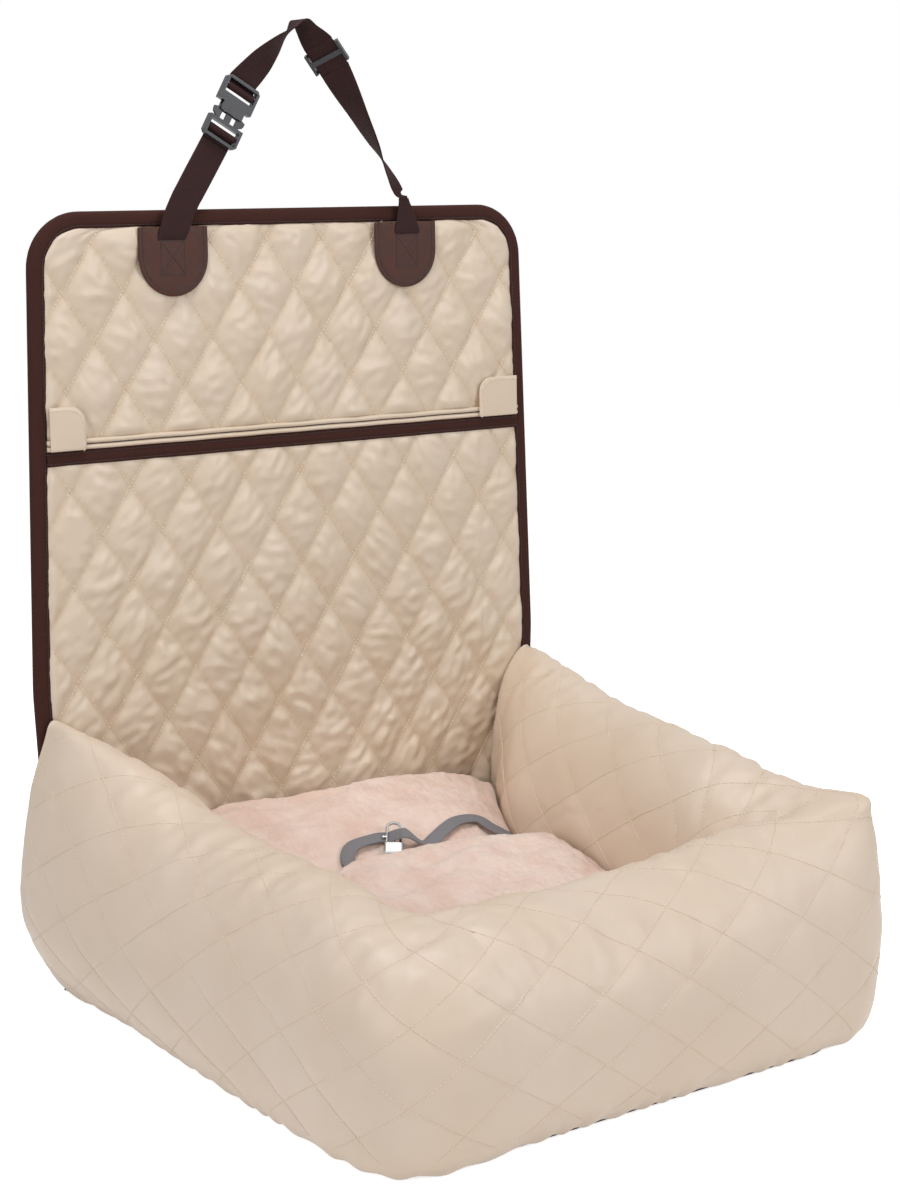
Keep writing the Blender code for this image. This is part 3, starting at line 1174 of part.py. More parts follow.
def main():
    """Build every sub-assembly."""
    build_floor()
    build_side_bolster("bolster_left", -1, TIP_HEIGHT_LEFT, RIDGE_HEIGHT_LEFT_SHARES, RIDGE_OUT_LEFT_SHARES,
                       CORNER_HEIGHT_LEFT, CORNER_RIDGE_LEFT)
    build_side_bolster("bolster_right", 1, TIP_HEIGHT_RIGHT, RIDGE_HEIGHT_RIGHT_SHARES, RIDGE_OUT_RIGHT_SHARES,
                       CORNER_HEIGHT_RIGHT, CORNER_RIDGE_RIGHT)
    build_front_bolster()
    build_seat_pad()
    frame = add_empty("panel_frame", None, (0, PANEL_FACE_Y, 0), (-PANEL_LEAN, 0, 0))
    build_wall(frame)
    fold = add_empty("fold_axis", frame, (0, 0, FOLD_HEIGHT))
    build_flap(fold)
    build_zip(fold)
    build_slider(fold)
    build_patches(fold)
    swing = add_empty("swing_axis", fold, (0, STRAP_DEPTH, SWING_HEIGHT - FOLD_HEIGHT))
    build_strap_left(swing)
    release_place = (RELEASE_X, 0, RELEASE_HEIGHT - SWING_HEIGHT)
    release = add_empty("release_axis", swing, release_place)
    moved = (-RELEASE_X, -STRAP_DEPTH, -RELEASE_HEIGHT)
    build_strap_right(release, moved)
    build_buckle(swing, (release, (BUCKLE_X - RELEASE_X, 0, BUCKLE_HEIGHT - RELEASE_HEIGHT)))
    build_adjuster(release, moved)
    build_tether()
    build_hook()


main()
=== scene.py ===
"""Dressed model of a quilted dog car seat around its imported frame.

The bed's three bolsters share one quilted satin cover, the seat pad is short plush, and the back
panel is a quilted sheet with a bound edge, a concealed zip pocket and a headrest strap. A tether
with a bolt snap lies on the pad.
"""

import json
import logging
import math
from dataclasses import dataclass, field
from enum import Enum
from typing import Callable

import bmesh
import bpy
import numpy as np
from mathutils import Matrix, Vector, noise
from mathutils.bvhtree import BVHTree

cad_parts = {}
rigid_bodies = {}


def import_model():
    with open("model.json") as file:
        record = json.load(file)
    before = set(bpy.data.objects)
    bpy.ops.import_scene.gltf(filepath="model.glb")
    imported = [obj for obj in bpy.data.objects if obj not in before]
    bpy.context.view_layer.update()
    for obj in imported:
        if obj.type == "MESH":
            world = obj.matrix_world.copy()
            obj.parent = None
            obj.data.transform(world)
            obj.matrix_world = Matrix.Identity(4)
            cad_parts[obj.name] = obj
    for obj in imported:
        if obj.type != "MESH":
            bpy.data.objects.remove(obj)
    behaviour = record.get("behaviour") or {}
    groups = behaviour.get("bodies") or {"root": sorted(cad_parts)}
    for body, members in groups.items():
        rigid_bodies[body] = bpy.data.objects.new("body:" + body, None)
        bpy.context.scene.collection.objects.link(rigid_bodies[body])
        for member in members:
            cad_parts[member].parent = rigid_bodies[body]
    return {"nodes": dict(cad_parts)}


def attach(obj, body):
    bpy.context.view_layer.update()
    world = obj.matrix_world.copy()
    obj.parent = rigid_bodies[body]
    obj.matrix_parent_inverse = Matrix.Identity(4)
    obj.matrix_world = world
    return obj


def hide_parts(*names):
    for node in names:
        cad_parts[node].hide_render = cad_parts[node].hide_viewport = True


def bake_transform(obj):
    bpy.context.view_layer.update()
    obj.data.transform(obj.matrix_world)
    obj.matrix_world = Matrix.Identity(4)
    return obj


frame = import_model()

LOG = logging.getLogger("dog_car_seat")
MM = 0.001


class Side(Enum):
    """Left and right as seen from the front."""

    LEFT = -1
    RIGHT = 1


# Small tools for meshes


def link(name: str, mesh: bpy.types.Mesh) -> bpy.types.Object:
    """Put a mesh in the scene as an object at the origin."""
    piece = bpy.data.objects.new(name, mesh)
    bpy.context.scene.collection.objects.link(piece)
    return piece


def mesh_object(name: str, points: np.ndarray, faces: list, smooth: bool = True) -> bpy.types.Object:
    """Make an object from points and faces.

    Args:
        name: The piece's name.
        points: Places, one row each, in metres.
        faces: Tuples of point numbers.
        smooth: Whether its faces are shaded smooth.

    Returns:
        The new object, at the origin.
    """
    mesh = bpy.data.meshes.new(name)
    mesh.from_pydata([tuple(map(float, point)) for point in points], [], [tuple(map(int, face)) for face in faces])
    mesh.update()
    if smooth:
        mesh.shade_smooth()
    return link(name, mesh)


def point_outwards(piece: bpy.types.Object) -> None:
    """Turn every face of a closed piece outwards."""
    bm = bmesh.new()
    bm.from_mesh(piece.data)
    bmesh.ops.recalc_face_normals(bm, faces=bm.faces)
    bm.to_mesh(piece.data)
    bm.free()


def grid_faces(rows: int, columns: int, wrap: bool = False) -> list:
    """Quads of a grid of points, row by row.

    Args:
        rows: Number of rows of points.
        columns: Number of points in each row.
        wrap: Whether each row closes on itself.

    Returns:
        The quads as tuples of point numbers.
    """
    faces = []
    last = columns if wrap else columns - 1
    for row in range(rows - 1):
        for column in range(last):
            after = (column + 1) % columns
            first = row * columns
            second = first + columns
            faces.append((first + column, first + after, second + after, second + column))
    return faces


def refine(piece: bpy.types.Object, levels: int = 1) -> None:
    """Smooth a piece by subdivision and keep the result as its mesh."""
    modifier = piece.modifiers.new("soft", "SUBSURF")
    modifier.levels = levels
    modifier.render_levels = levels
    modifier.boundary_smooth = "PRESERVE_CORNERS"
    settle(piece)


def close_rim(piece: bpy.types.Object, move: Callable | None = None) -> None:
    """Close an open cloth: carry its rim to the back where a move is given, and fill it.

    Args:
        piece: The open piece.
        move: Gives the place on the back for a place on the rim.
    """
    bm = bmesh.new()
    bm.from_mesh(piece.data)
    rim = [edge for edge in bm.edges if edge.is_boundary]
    if move:
        grown = bmesh.ops.extrude_edge_only(bm, edges=rim)["geom"]
        for part in grown:
            if isinstance(part, bmesh.types.BMVert):
                part.co = move(part.co)
        rim = [part for part in grown if isinstance(part, bmesh.types.BMEdge)]
    bmesh.ops.edgeloop_fill(bm, edges=rim)
    bmesh.ops.recalc_face_normals(bm, faces=bm.faces)
    bm.to_mesh(piece.data)
    bm.free()


def settle(piece: bpy.types.Object) -> None:
    """Replace a piece's mesh with its evaluated mesh and drop its modifiers."""
    bpy.context.view_layer.update()
    evaluated = piece.evaluated_get(bpy.context.evaluated_depsgraph_get())
    mesh = bpy.data.meshes.new_from_object(evaluated)
    mesh.name = piece.name
    piece.modifiers.clear()
    piece.data = mesh


def smooth_path(points: list, step: float, closed: bool = False) -> np.ndarray:
    """Read evenly spaced points from a smooth curve through a few points.

    Args:
        points: Places that the curve passes.
        step: Distance between the points that come back.
        closed: Whether the curve closes on itself.

    Returns:
        Points along the curve, one row each.
    """
    knots = np.array(points, float)
    if closed:
        knots = np.vstack([knots[-1], knots, knots[:2]])
    else:
        knots = np.vstack([2 * knots[0] - knots[1], knots, 2 * knots[-1] - knots[-2]])
    fine = []
    for index in range(1, len(knots) - 2):
        a, b, c, d = knots[index - 1:index + 3]
        share = np.linspace(0, 1, 24, endpoint=False)[:, None]
        fine.append(0.5 * (2 * b + (c - a) * share + (2 * a - 5 * b + 4 * c - d) * share ** 2
                           + (3 * b - 3 * c + d - a) * share ** 3))
    fine.append(knots[-2][None, :])
    return even_points(np.vstack(fine), step)


def even_points(path: np.ndarray, step: float) -> np.ndarray:
    """Read points at an even spacing along a polyline."""
    lengths = np.concatenate([[0], np.cumsum(np.linalg.norm(np.diff(path, axis=0), axis=1))])
    count = max(2, int(round(lengths[-1] / step)) + 1)
    places = np.linspace(0, lengths[-1], count)
    return np.stack([np.interp(places, lengths, path[:, axis]) for axis in range(path.shape[1])], axis=1)


def field_noise(points: np.ndarray, size: float, seed: float) -> np.ndarray:
    """Smooth noise from -1 to 1 at each point, with bumps of about a size in metres."""
    shift = Vector((seed, 2.3 * seed, -1.7 * seed))
    return np.array([noise.noise(Vector(point) / size + shift) for point in points])


# Back panel's own frame


@dataclass(frozen=True)
class PanelFrame:
    """Places on the leaning back panel: across, depth behind its face, height up its face."""

    face_y: float = 0.256
    lean: float = math.radians(1.4)
    height: float = 0.731
    top_width: float = 0.554
    fold_width: float = 0.578
    base_width: float = 0.556
    fold_height: float = 0.295
    corner_radius: float = 0.052
    bottom: float = 0.0066

    def place(self, across: float, depth: float, up: float) -> tuple:
        """World place of a point given on the panel."""
        cos, sin = math.cos(self.lean), math.sin(self.lean)
        return (across, self.face_y + depth * cos + up * sin, up * cos - depth * sin)

    def places(self, rows: np.ndarray) -> np.ndarray:
        """World places of many points, given as rows of across, depth and height."""
        cos, sin = math.cos(self.lean), math.sin(self.lean)
        across, depth, up = rows[:, 0], rows[:, 1], rows[:, 2]
        return np.stack([across, self.face_y + depth * cos + up * sin, up * cos - depth * sin], axis=1)

    def half_width(self, up: float) -> float:
        """Half width of the bound panel at a height, without its round corners."""
        if up >= self.fold_height:
            share = (up - self.fold_height) / (self.height - self.corner_radius - self.fold_height)
            return (self.fold_width + (self.top_width - self.fold_width) * min(1.0, share)) / 2
        share = (up - self.bottom) / (self.fold_height - self.bottom)
        return (self.base_width + (self.fold_width - self.base_width) * share) / 2

    def edge(self, inset: float = 0.0) -> list:
        """Outline from the left foot over the top to the right foot, drawn in by an inset."""
        radius = self.corner_radius - inset
        top = self.height - inset
        half_top = self.half_width(self.height) - inset
        left = [(-(self.half_width(up) - inset), up)
                for up in np.linspace(self.bottom, self.height - self.corner_radius, 60)]
        corner = []
        for angle in np.radians(np.linspace(180, 90, 14)[1:]):
            corner.append((-half_top + radius + radius * math.cos(angle), top - radius + radius * math.sin(angle)))
        start = -half_top + radius
        flat = [(across, top) for across in np.linspace(start, 0, 18)[1:]]
        half = left + corner + flat
        return half + [(-across, up) for across, up in reversed(half[:-1])]


PANEL = PanelFrame()


# Finishes


def linear(code: str) -> tuple:
    """Turn an sRGB hex colour into a linear RGBA value."""
    channels = []
    for start in (0, 2, 4):
        value = int(code[start:start + 2], 16) / 255
        channels.append(value / 12.92 if value <= 0.04045 else ((value + 0.055) / 1.055) ** 2.4)
    return (*channels, 1.0)


def add_node(tree: bpy.types.NodeTree, kind: str, settings: dict | None = None,
             inputs: dict | None = None) -> bpy.types.Node:
    """Add one node with its settings, values and links.

    Args:
        tree: The node tree it goes in.
        kind: Blender's name for the node type.
        settings: Properties of the node.
        inputs: Values or output sockets for its inputs, by name or number.

    Returns:
        The new node.
    """
    node = tree.nodes.new(kind)
    for name, value in (settings or {}).items():
        setattr(node, name, value)
    for name, value in (inputs or {}).items():
        socket = node.inputs[name]
        if isinstance(value, bpy.types.NodeSocket):
            tree.links.new(value, socket)
        else:
            socket.default_value = value
    return node


@dataclass(frozen=True)
class Finish:
    """A surface finish: a name, its colour and the shader's plain values."""

    name: str
    colour: str
    roughness: float = 0.5
    metallic: float = 0.0
    specular: float = 0.5
    sheen: float = 0.0
    sheen_roughness: float = 0.5
    coat: float = 0.0
    anisotropy: float = 0.0

    def shader(self) -> tuple:
        """Make the material with its plain values.

        Returns:
            The material, its node tree and its Principled shader.
        """
        material = bpy.data.materials.new(self.name)
        material.use_nodes = True
        material.diffuse_color = linear(self.colour)
        tree = material.node_tree
        shader = tree.nodes["Principled BSDF"]
        shader.inputs["Base Color"].default_value = linear(self.colour)
        shader.inputs["Roughness"].default_value = self.roughness
        shader.inputs["Metallic"].default_value = self.metallic
        shader.inputs["Specular IOR Level"].default_value = self.specular
        shader.inputs["Sheen Weight"].default_value = self.sheen
        shader.inputs["Sheen Roughness"].default_value = self.sheen_roughness
        shader.inputs["Coat Weight"].default_value = self.coat
        shader.inputs["Anisotropic"].default_value = self.anisotropy
        return material, tree, shader

    def tint(self, tree: bpy.types.NodeTree, amount: bpy.types.NodeSocket, other: str,
             strength: float = 1.0) -> bpy.types.NodeSocket:
        """Colour that goes from the finish's own to another by an amount."""
        scaled = add_node(tree, "ShaderNodeMath", {"operation": "MULTIPLY"}, {0: amount, 1: strength})
        mix = add_node(tree, "ShaderNodeMix", {"data_type": "RGBA"},
                       {0: scaled.outputs[0], 6: linear(self.colour), 7: linear(other)})
        return mix.outputs[2]


def object_coordinates(tree: bpy.types.NodeTree, scale: tuple = (1.0, 1.0, 1.0)) -> bpy.types.NodeSocket:
    """Object coordinates in metres, stretched by a scale."""
    coordinates = add_node(tree, "ShaderNodeTexCoord")
    mapping = add_node(tree, "ShaderNodeMapping", {}, {"Vector": coordinates.outputs["Object"], "Scale": scale})
    return mapping.outputs[0]


@dataclass(frozen=True)
class Satin(Finish):
    """Polyester satin: a smooth face of long floats, so light slides over its folds."""

    shade: str = "bb9c74"
    thread: float = 0.55

    def build(self) -> bpy.types.Material:
        """Make the satin with its fine ribs and slubs, and with painted shade that darkens its seam valleys."""
        material, tree, shader = self.shader()
        place = object_coordinates(tree)
        # thread spacing is drawn at about half a millimetre, coarser than real satin, so that it shows
        ribs = add_node(tree, "ShaderNodeTexNoise", {}, {"Vector": object_coordinates(tree, (1.0, 1.0, 6.0)),
                                                        "Scale": 1 / (self.thread * MM * 6), "Detail": 3.0})
        cloud = add_node(tree, "ShaderNodeTexNoise", {}, {"Vector": place, "Scale": 1 / 0.09, "Detail": 2.0})
        # painted shade: the seam attribute darkens the satin in the seam valleys, where shade falls; the cloud noise
        # adds random tone
        seam = add_node(tree, "ShaderNodeAttribute", {"attribute_name": "seam"})
        soft = add_node(tree, "ShaderNodeMapRange", {},
                        {"Value": cloud.outputs[0], "From Min": 0.35, "From Max": 0.7, "To Min": 0.0, "To Max": 0.16})
        amount = add_node(tree, "ShaderNodeMath", {"operation": "MULTIPLY_ADD", "use_clamp": True},
                          {0: seam.outputs["Fac"], 1: 0.34, 2: soft.outputs[0]})
        tree.links.new(self.tint(tree, amount.outputs[0], self.shade), shader.inputs["Base Color"])
        bump = add_node(tree, "ShaderNodeBump", {}, {"Strength": 0.10, "Distance": 0.3 * MM, "Height": ribs.outputs[0]})
        tree.links.new(bump.outputs[0], shader.inputs["Normal"])
        rough = add_node(tree, "ShaderNodeMapRange", {},
                         {"Value": ribs.outputs[0], "To Min": self.roughness - 0.06, "To Max": self.roughness + 0.08})
        tree.links.new(rough.outputs[0], shader.inputs["Roughness"])
        return material


@dataclass(frozen=True)
class Plush(Finish):
    """Short rabbit-like plush: a dense pile that parts in small clumps and looks pale at its rim."""

    shade: str = "dab6a5"
    pile: float = 4.0

    def build(self) -> bpy.types.Material:
        """Make the plush with clumps of pile and mottled colour."""
        material, tree, shader = self.shader()
        place = object_coordinates(tree)
        clump = add_node(tree, "ShaderNodeTexNoise", {}, {"Vector": place, "Scale": 1 / (self.pile * MM), "Detail": 6.0,
                                                         "Roughness": 0.65, "Distortion": 0.6})
        hair = add_node(tree, "ShaderNodeTexNoise", {}, {"Vector": object_coordinates(tree, (1.0, 0.35, 0.6)),
                                                        "Scale": 1 / (0.8 * MM), "Detail": 3.0})
        mottle = add_node(tree, "ShaderNodeTexNoise", {}, {"Vector": place, "Scale": 1 / 0.035, "Detail": 4.0})
        blend = add_node(tree, "ShaderNodeMath", {"operation": "MULTIPLY_ADD"},
                         {0: clump.outputs[0], 1: 0.5, 2: mottle.outputs[0]})
        amount = add_node(tree, "ShaderNodeMapRange", {}, {"Value": blend.outputs[0], "From Min": 0.62, "From Max": 0.98,
                                                          "To Min": 0.0, "To Max": 0.62})
        tree.links.new(self.tint(tree, amount.outputs[0], self.shade), shader.inputs["Base Color"])
        height = add_node(tree, "ShaderNodeMath", {"operation": "MULTIPLY_ADD"},
                          {0: hair.outputs[0], 1: 0.35, 2: clump.outputs[0]})
        bump = add_node(tree, "ShaderNodeBump", {}, {"Strength": 0.55, "Distance": 1.6 * MM, "Height": height.outputs[0]})
        tree.links.new(bump.outputs[0], shader.inputs["Normal"])
        return material


@dataclass(frozen=True)
class Webbing(Finish):
    """Woven polyester webbing or tape: rows of twill ribs that run along it."""

    shade: str = "1d1315"
    rib: float = 1.0
    slant: float = 0.6

    def build(self) -> bpy.types.Material:
        """Make the weave from the strip's own UV map, in metres along and across."""
        material, tree, shader = self.shader()
        flat = add_node(tree, "ShaderNodeUVMap", {"uv_map": "weave"})
        parts = add_node(tree, "ShaderNodeSeparateXYZ", {}, {0: flat.outputs[0]})
        along = add_node(tree, "ShaderNodeMath", {"operation": "MULTIPLY"}, {0: parts.outputs[0], 1: self.slant})
        lean = add_node(tree, "ShaderNodeMath", {"operation": "ADD"}, {0: along.outputs[0], 1: parts.outputs[1]})
        turns = 2 * math.pi / (self.rib * MM)
        angle = add_node(tree, "ShaderNodeMath", {"operation": "MULTIPLY"}, {0: lean.outputs[0], 1: turns})
        wave = add_node(tree, "ShaderNodeMath", {"operation": "SINE"}, {0: angle.outputs[0]})
        cross = add_node(tree, "ShaderNodeMath", {"operation": "MULTIPLY"}, {0: parts.outputs[0], 1: turns * 0.8})
        weft = add_node(tree, "ShaderNodeMath", {"operation": "SINE"}, {0: cross.outputs[0]})
        height = add_node(tree, "ShaderNodeMath", {"operation": "MULTIPLY_ADD"},
                          {0: weft.outputs[0], 1: 0.5, 2: wave.outputs[0]})
        amount = add_node(tree, "ShaderNodeMapRange", {}, {"Value": height.outputs[0], "From Min": 1.2, "From Max": -1.2,
                                                          "To Min": 0.0, "To Max": 0.7})
        tree.links.new(self.tint(tree, amount.outputs[0], self.shade), shader.inputs["Base Color"])
        bump = add_node(tree, "ShaderNodeBump", {}, {"Strength": 0.3, "Distance": 0.3 * MM, "Height": height.outputs[0]})
        tree.links.new(bump.outputs[0], shader.inputs["Normal"])
        return material


@dataclass(frozen=True)
class Canvas(Finish):
    """Plain-woven lining cloth: fine crossing threads that catch the light unevenly."""

    shade: str = "33292a"
    thread: float = 0.7

    def build(self) -> bpy.types.Material:
        """Make the cloth with threads both ways and cloudy dye."""
        material, tree, shader = self.shader()
        # threads are drawn at 0.7 mm, coarser than real lining, so that they show
        scale = 1 / (self.thread * MM * 5)
        warp = add_node(tree, "ShaderNodeTexNoise", {}, {"Vector": object_coordinates(tree, (5.0, 5.0, 0.6)), "Scale": scale})
        weft = add_node(tree, "ShaderNodeTexNoise", {}, {"Vector": object_coordinates(tree, (0.6, 0.6, 5.0)), "Scale": scale})
        height = add_node(tree, "ShaderNodeMath", {"operation": "ADD"}, {0: warp.outputs[0], 1: weft.outputs[0]})
        amount = add_node(tree, "ShaderNodeMapRange", {}, {"Value": height.outputs[0], "From Min": 0.7, "From Max": 1.3,
                                                          "To Min": 0.0, "To Max": 0.6})
        tree.links.new(self.tint(tree, amount.outputs[0], self.shade), shader.inputs["Base Color"])
        bump = add_node(tree, "ShaderNodeBump", {}, {"Strength": 0.25, "Distance": 0.3 * MM, "Height": height.outputs[0]})
        tree.links.new(bump.outputs[0], shader.inputs["Normal"])
        return material


@dataclass(frozen=True)
class Leather(Finish):
    """Smooth-grained leather: small rounded cells with fine creases between them."""

    shade: str = "3c2622"
    grain: float = 1.4

    def build(self) -> bpy.types.Material:
        """Make the leather with its grain and cloudy dye."""
        material, tree, shader = self.shader()
        place = object_coordinates(tree)
        cells = add_node(tree, "ShaderNodeTexVoronoi", {"feature": "DISTANCE_TO_EDGE"},
                         {"Vector": place, "Scale": 1 / (self.grain * MM), "Randomness": 1.0})
        crease = add_node(tree, "ShaderNodeMapRange", {}, {"Value": cells.outputs["Distance"], "From Min": 0.0,
                                                          "From Max": 0.25})
        cloud = add_node(tree, "ShaderNodeTexNoise", {}, {"Vector": place, "Scale": 1 / 0.018, "Detail": 4.0})
        amount = add_node(tree, "ShaderNodeMapRange", {}, {"Value": cloud.outputs[0], "From Min": 0.38, "From Max": 0.68,
                                                          "To Min": 0.0, "To Max": 0.6})
        tree.links.new(self.tint(tree, amount.outputs[0], self.shade), shader.inputs["Base Color"])
        bump = add_node(tree, "ShaderNodeBump", {}, {"Strength": 0.35, "Distance": 0.25 * MM, "Height": crease.outputs[0]})
        tree.links.new(bump.outputs[0], shader.inputs["Normal"])
        return material


@dataclass(frozen=True)
class Moulded(Finish):
    """Injection-moulded acetal or sheet: an even satin skin with a faint spark-eroded texture."""

    shade: str = "26272a"
    spark: float = 0.6

    def build(self) -> bpy.types.Material:
        """Make the plastic with its fine mould texture."""
        material, tree, shader = self.shader()
        place = object_coordinates(tree)
        grain = add_node(tree, "ShaderNodeTexNoise", {}, {"Vector": place, "Scale": 1 / (self.spark * MM), "Detail": 2.0})
        cloud = add_node(tree, "ShaderNodeTexNoise", {}, {"Vector": place, "Scale": 1 / 0.012, "Detail": 3.0})
        amount = add_node(tree, "ShaderNodeMapRange", {}, {"Value": cloud.outputs[0], "From Min": 0.4, "From Max": 0.7,
                                                          "To Min": 0.0, "To Max": 0.35})
        tree.links.new(self.tint(tree, amount.outputs[0], self.shade), shader.inputs["Base Color"])
        bump = add_node(tree, "ShaderNodeBump", {}, {"Strength": 0.12, "Distance": 0.1 * MM, "Height": grain.outputs[0]})
        tree.links.new(bump.outputs[0], shader.inputs["Normal"])
        return material


@dataclass(frozen=True)
class Plated(Finish):
    """Bright chrome on cast zinc: a mirror skin that waves a little over the casting."""

    def build(self) -> bpy.types.Material:
        """Make the chrome with a slight casting wave and handling marks."""
        material, tree, shader = self.shader()
        place = object_coordinates(tree)
        wave = add_node(tree, "ShaderNodeTexNoise", {}, {"Vector": place, "Scale": 1 / 0.004, "Detail": 2.0})
        marks = add_node(tree, "ShaderNodeTexNoise", {}, {"Vector": place, "Scale": 1 / 0.0015, "Detail": 4.0})
        rough = add_node(tree, "ShaderNodeMapRange", {}, {"Value": marks.outputs[0], "From Min": 0.4, "From Max": 0.8,
                                                         "To Min": self.roughness, "To Max": self.roughness + 0.12})
        tree.links.new(rough.outputs[0], shader.inputs["Roughness"])
        bump = add_node(tree, "ShaderNodeBump", {}, {"Strength": 0.08, "Distance": 0.3 * MM, "Height": wave.outputs[0]})
        tree.links.new(bump.outputs[0], shader.inputs["Normal"])
        return material


@dataclass
class Finishes:
    """Every finish of the seat, made once."""

    satin: bpy.types.Material = field(init=False)
    cover: bpy.types.Material = field(init=False)
    plush: bpy.types.Material = field(init=False)
    tape: bpy.types.Material = field(init=False)
    strap: bpy.types.Material = field(init=False)
    lining: bpy.types.Material = field(init=False)
    tether: bpy.types.Material = field(init=False)
    leather: bpy.types.Material = field(init=False)
    acetal: bpy.types.Material = field(init=False)
    sheet: bpy.types.Material = field(init=False)
    chrome: bpy.types.Material = field(init=False)
    cream_thread: bpy.types.Material = field(init=False)
    dark_thread: bpy.types.Material = field(init=False)

    def __post_init__(self) -> None:
        """Make the materials."""
        self.satin = Satin("cream_satin", "d8c7b3", 0.40, specular=0.5).build()
        self.cover = Satin("cream_cover_satin", "dccab8", 0.46, specular=0.42, shade="c3a883").build()
        self.plush = Plush("pink_plush", "ead5c9", 0.95, sheen=0.6, sheen_roughness=0.35, specular=0.15).build()
        self.tape = Webbing("brown_binding_tape", "4c2c25", 0.8, specular=0.12).build()
        self.strap = Webbing("brown_strap_webbing", "3c2524", 0.75, rib=1.3, specular=0.15).build()
        self.lining = Canvas("brown_lining_cloth", "4a3c38", 0.85, specular=0.15).build()
        self.tether = Webbing("grey_tether_webbing", "8b8a8f", 0.7, shade="5b5a5f", rib=1.1, specular=0.35).build()
        self.leather = Leather("brown_leather", "4a271c", 0.34, specular=0.2).build()
        self.acetal = Moulded("dark_grey_acetal", "2d2e33", 0.34, specular=0.4).build()
        self.sheet = Moulded("white_polypropylene_sheet", "d8d6d0", 0.55, shade="c4c1ba").build()
        self.chrome = Plated("bright_chrome", "c8c9cc", 0.14, metallic=1.0).build()
        self.cream_thread = Moulded("cream_sewing_thread", "e6d8c6", 0.6, shade="d2c0a4", spark=0.3).build()
        self.dark_thread = Moulded("brown_sewing_thread", "2b1d1c", 0.6, shade="1a1110", spark=0.3).build()


# Stitches


@dataclass
class Sewing:
    """Rows of stitches: short lengths of thread laid along a line on a surface."""

    pitch: float = 0.0040
    length: float = 0.0030
    thread: float = 0.00045
    trees: dict = field(default_factory=dict)

    def stitch_mesh(self) -> bpy.types.Mesh:
        """One stitch, a short round-ended thread along X."""
        rings = [(-0.5, 0.35), (-0.38, 0.85), (-0.12, 1.0), (0.12, 1.0), (0.38, 0.85), (0.5, 0.35)]
        points = []
        for place, share in rings:
            for turn in range(6):
                angle = math.radians(60 * turn)
                points.append((place * self.length, self.thread * share * math.cos(angle),
                               self.thread * share * math.sin(angle)))
        faces = grid_faces(len(rings), 6, wrap=True)
        faces += [tuple(range(5, -1, -1)), tuple(range(6 * len(rings) - 6, 6 * len(rings)))]
        mesh = bpy.data.meshes.new("stitch")
        mesh.from_pydata(points, [], faces)
        mesh.shade_smooth()
        return mesh

    def tree(self, finish: bpy.types.Material) -> bpy.types.NodeTree:
        """Node tree that lays stitches at an even pitch along a mesh's edges."""
        if finish.name in self.trees:
            return self.trees[finish.name]
        holder = link("stitch_" + finish.name, self.stitch_mesh())
        holder.hide_render = True
        holder.hide_viewport = True
        tree = bpy.data.node_groups.new("stitching_" + finish.name, "GeometryNodeTree")
        tree.interface.new_socket("Geometry", in_out="INPUT", socket_type="NodeSocketGeometry")
        tree.interface.new_socket("Pitch", in_out="INPUT", socket_type="NodeSocketFloat")
        tree.interface.new_socket("Geometry", in_out="OUTPUT", socket_type="NodeSocketGeometry")
        start = add_node(tree, "NodeGroupInput")
        line = add_node(tree, "GeometryNodeMeshToCurve", {}, {"Mesh": start.outputs[0]})
        spaced = add_node(tree, "GeometryNodeResampleCurve", {"mode": "LENGTH"},
                          {"Curve": line.outputs[0], "Length": start.outputs[1]})
        tangent = add_node(tree, "GeometryNodeInputTangent")
        turn = add_node(tree, "FunctionNodeAlignRotationToVector", {"axis": "X"}, {"Vector": tangent.outputs[0]})
        stitch = add_node(tree, "GeometryNodeObjectInfo", {}, {"Object": holder})
        rows = add_node(tree, "GeometryNodeInstanceOnPoints", {}, {
            "Points": spaced.outputs[0], "Instance": stitch.outputs["Geometry"], "Rotation": turn.outputs[0]})
        real = add_node(tree, "GeometryNodeRealizeInstances", {}, {0: rows.outputs[0]})
        dressed = add_node(tree, "GeometryNodeSetMaterial", {}, {"Geometry": real.outputs[0], "Material": finish})
        add_node(tree, "NodeGroupOutput", {}, {0: dressed.outputs[0]})
        self.trees[finish.name] = tree
        return tree

    def rows(self, name: str, lines: list, finish: bpy.types.Material, pitch: float | None = None) -> bpy.types.Object:
        """Lay rows of stitches along lines.

        Args:
            name: The piece's name.
            lines: Lists of places, one for each row.
            finish: The thread's material.
            pitch: Distance from one stitch to the next, if not the usual one.

        Returns:
            One plain mesh with every stitch.
        """
        points, edges = [], []
        for row in lines:
            start = len(points)
            points += [tuple(map(float, place)) for place in row]
            edges += [(index, index + 1) for index in range(start, len(points) - 1)]
        mesh = bpy.data.meshes.new(name)
        mesh.from_pydata(points, edges, [])
        piece = link(name, mesh)
        tree = self.tree(finish)
        modifier = piece.modifiers.new("stitches", "NODES")
        modifier.node_group = tree
        socket = next(item for item in tree.interface.items_tree if item.name == "Pitch")
        modifier[socket.identifier] = pitch or self.pitch
        settle(piece)
        piece.data.shade_smooth()
        return piece


def surface_of(piece: bpy.types.Object) -> BVHTree:
    """Search tree of a piece's surface."""
    mesh = piece.data
    return BVHTree.FromPolygons([vert.co for vert in mesh.vertices], [tuple(face.vertices) for face in mesh.polygons])


def lay_on(surface: BVHTree, row: np.ndarray, lift: float) -> np.ndarray:
    """Move a row of places onto a surface, a little proud of it."""
    laid = []
    for place in row:
        found = surface.find_nearest(Vector(place))
        laid.append(found[0] + found[1] * lift)
    return np.array([tuple(place) for place in laid])


# Quilting


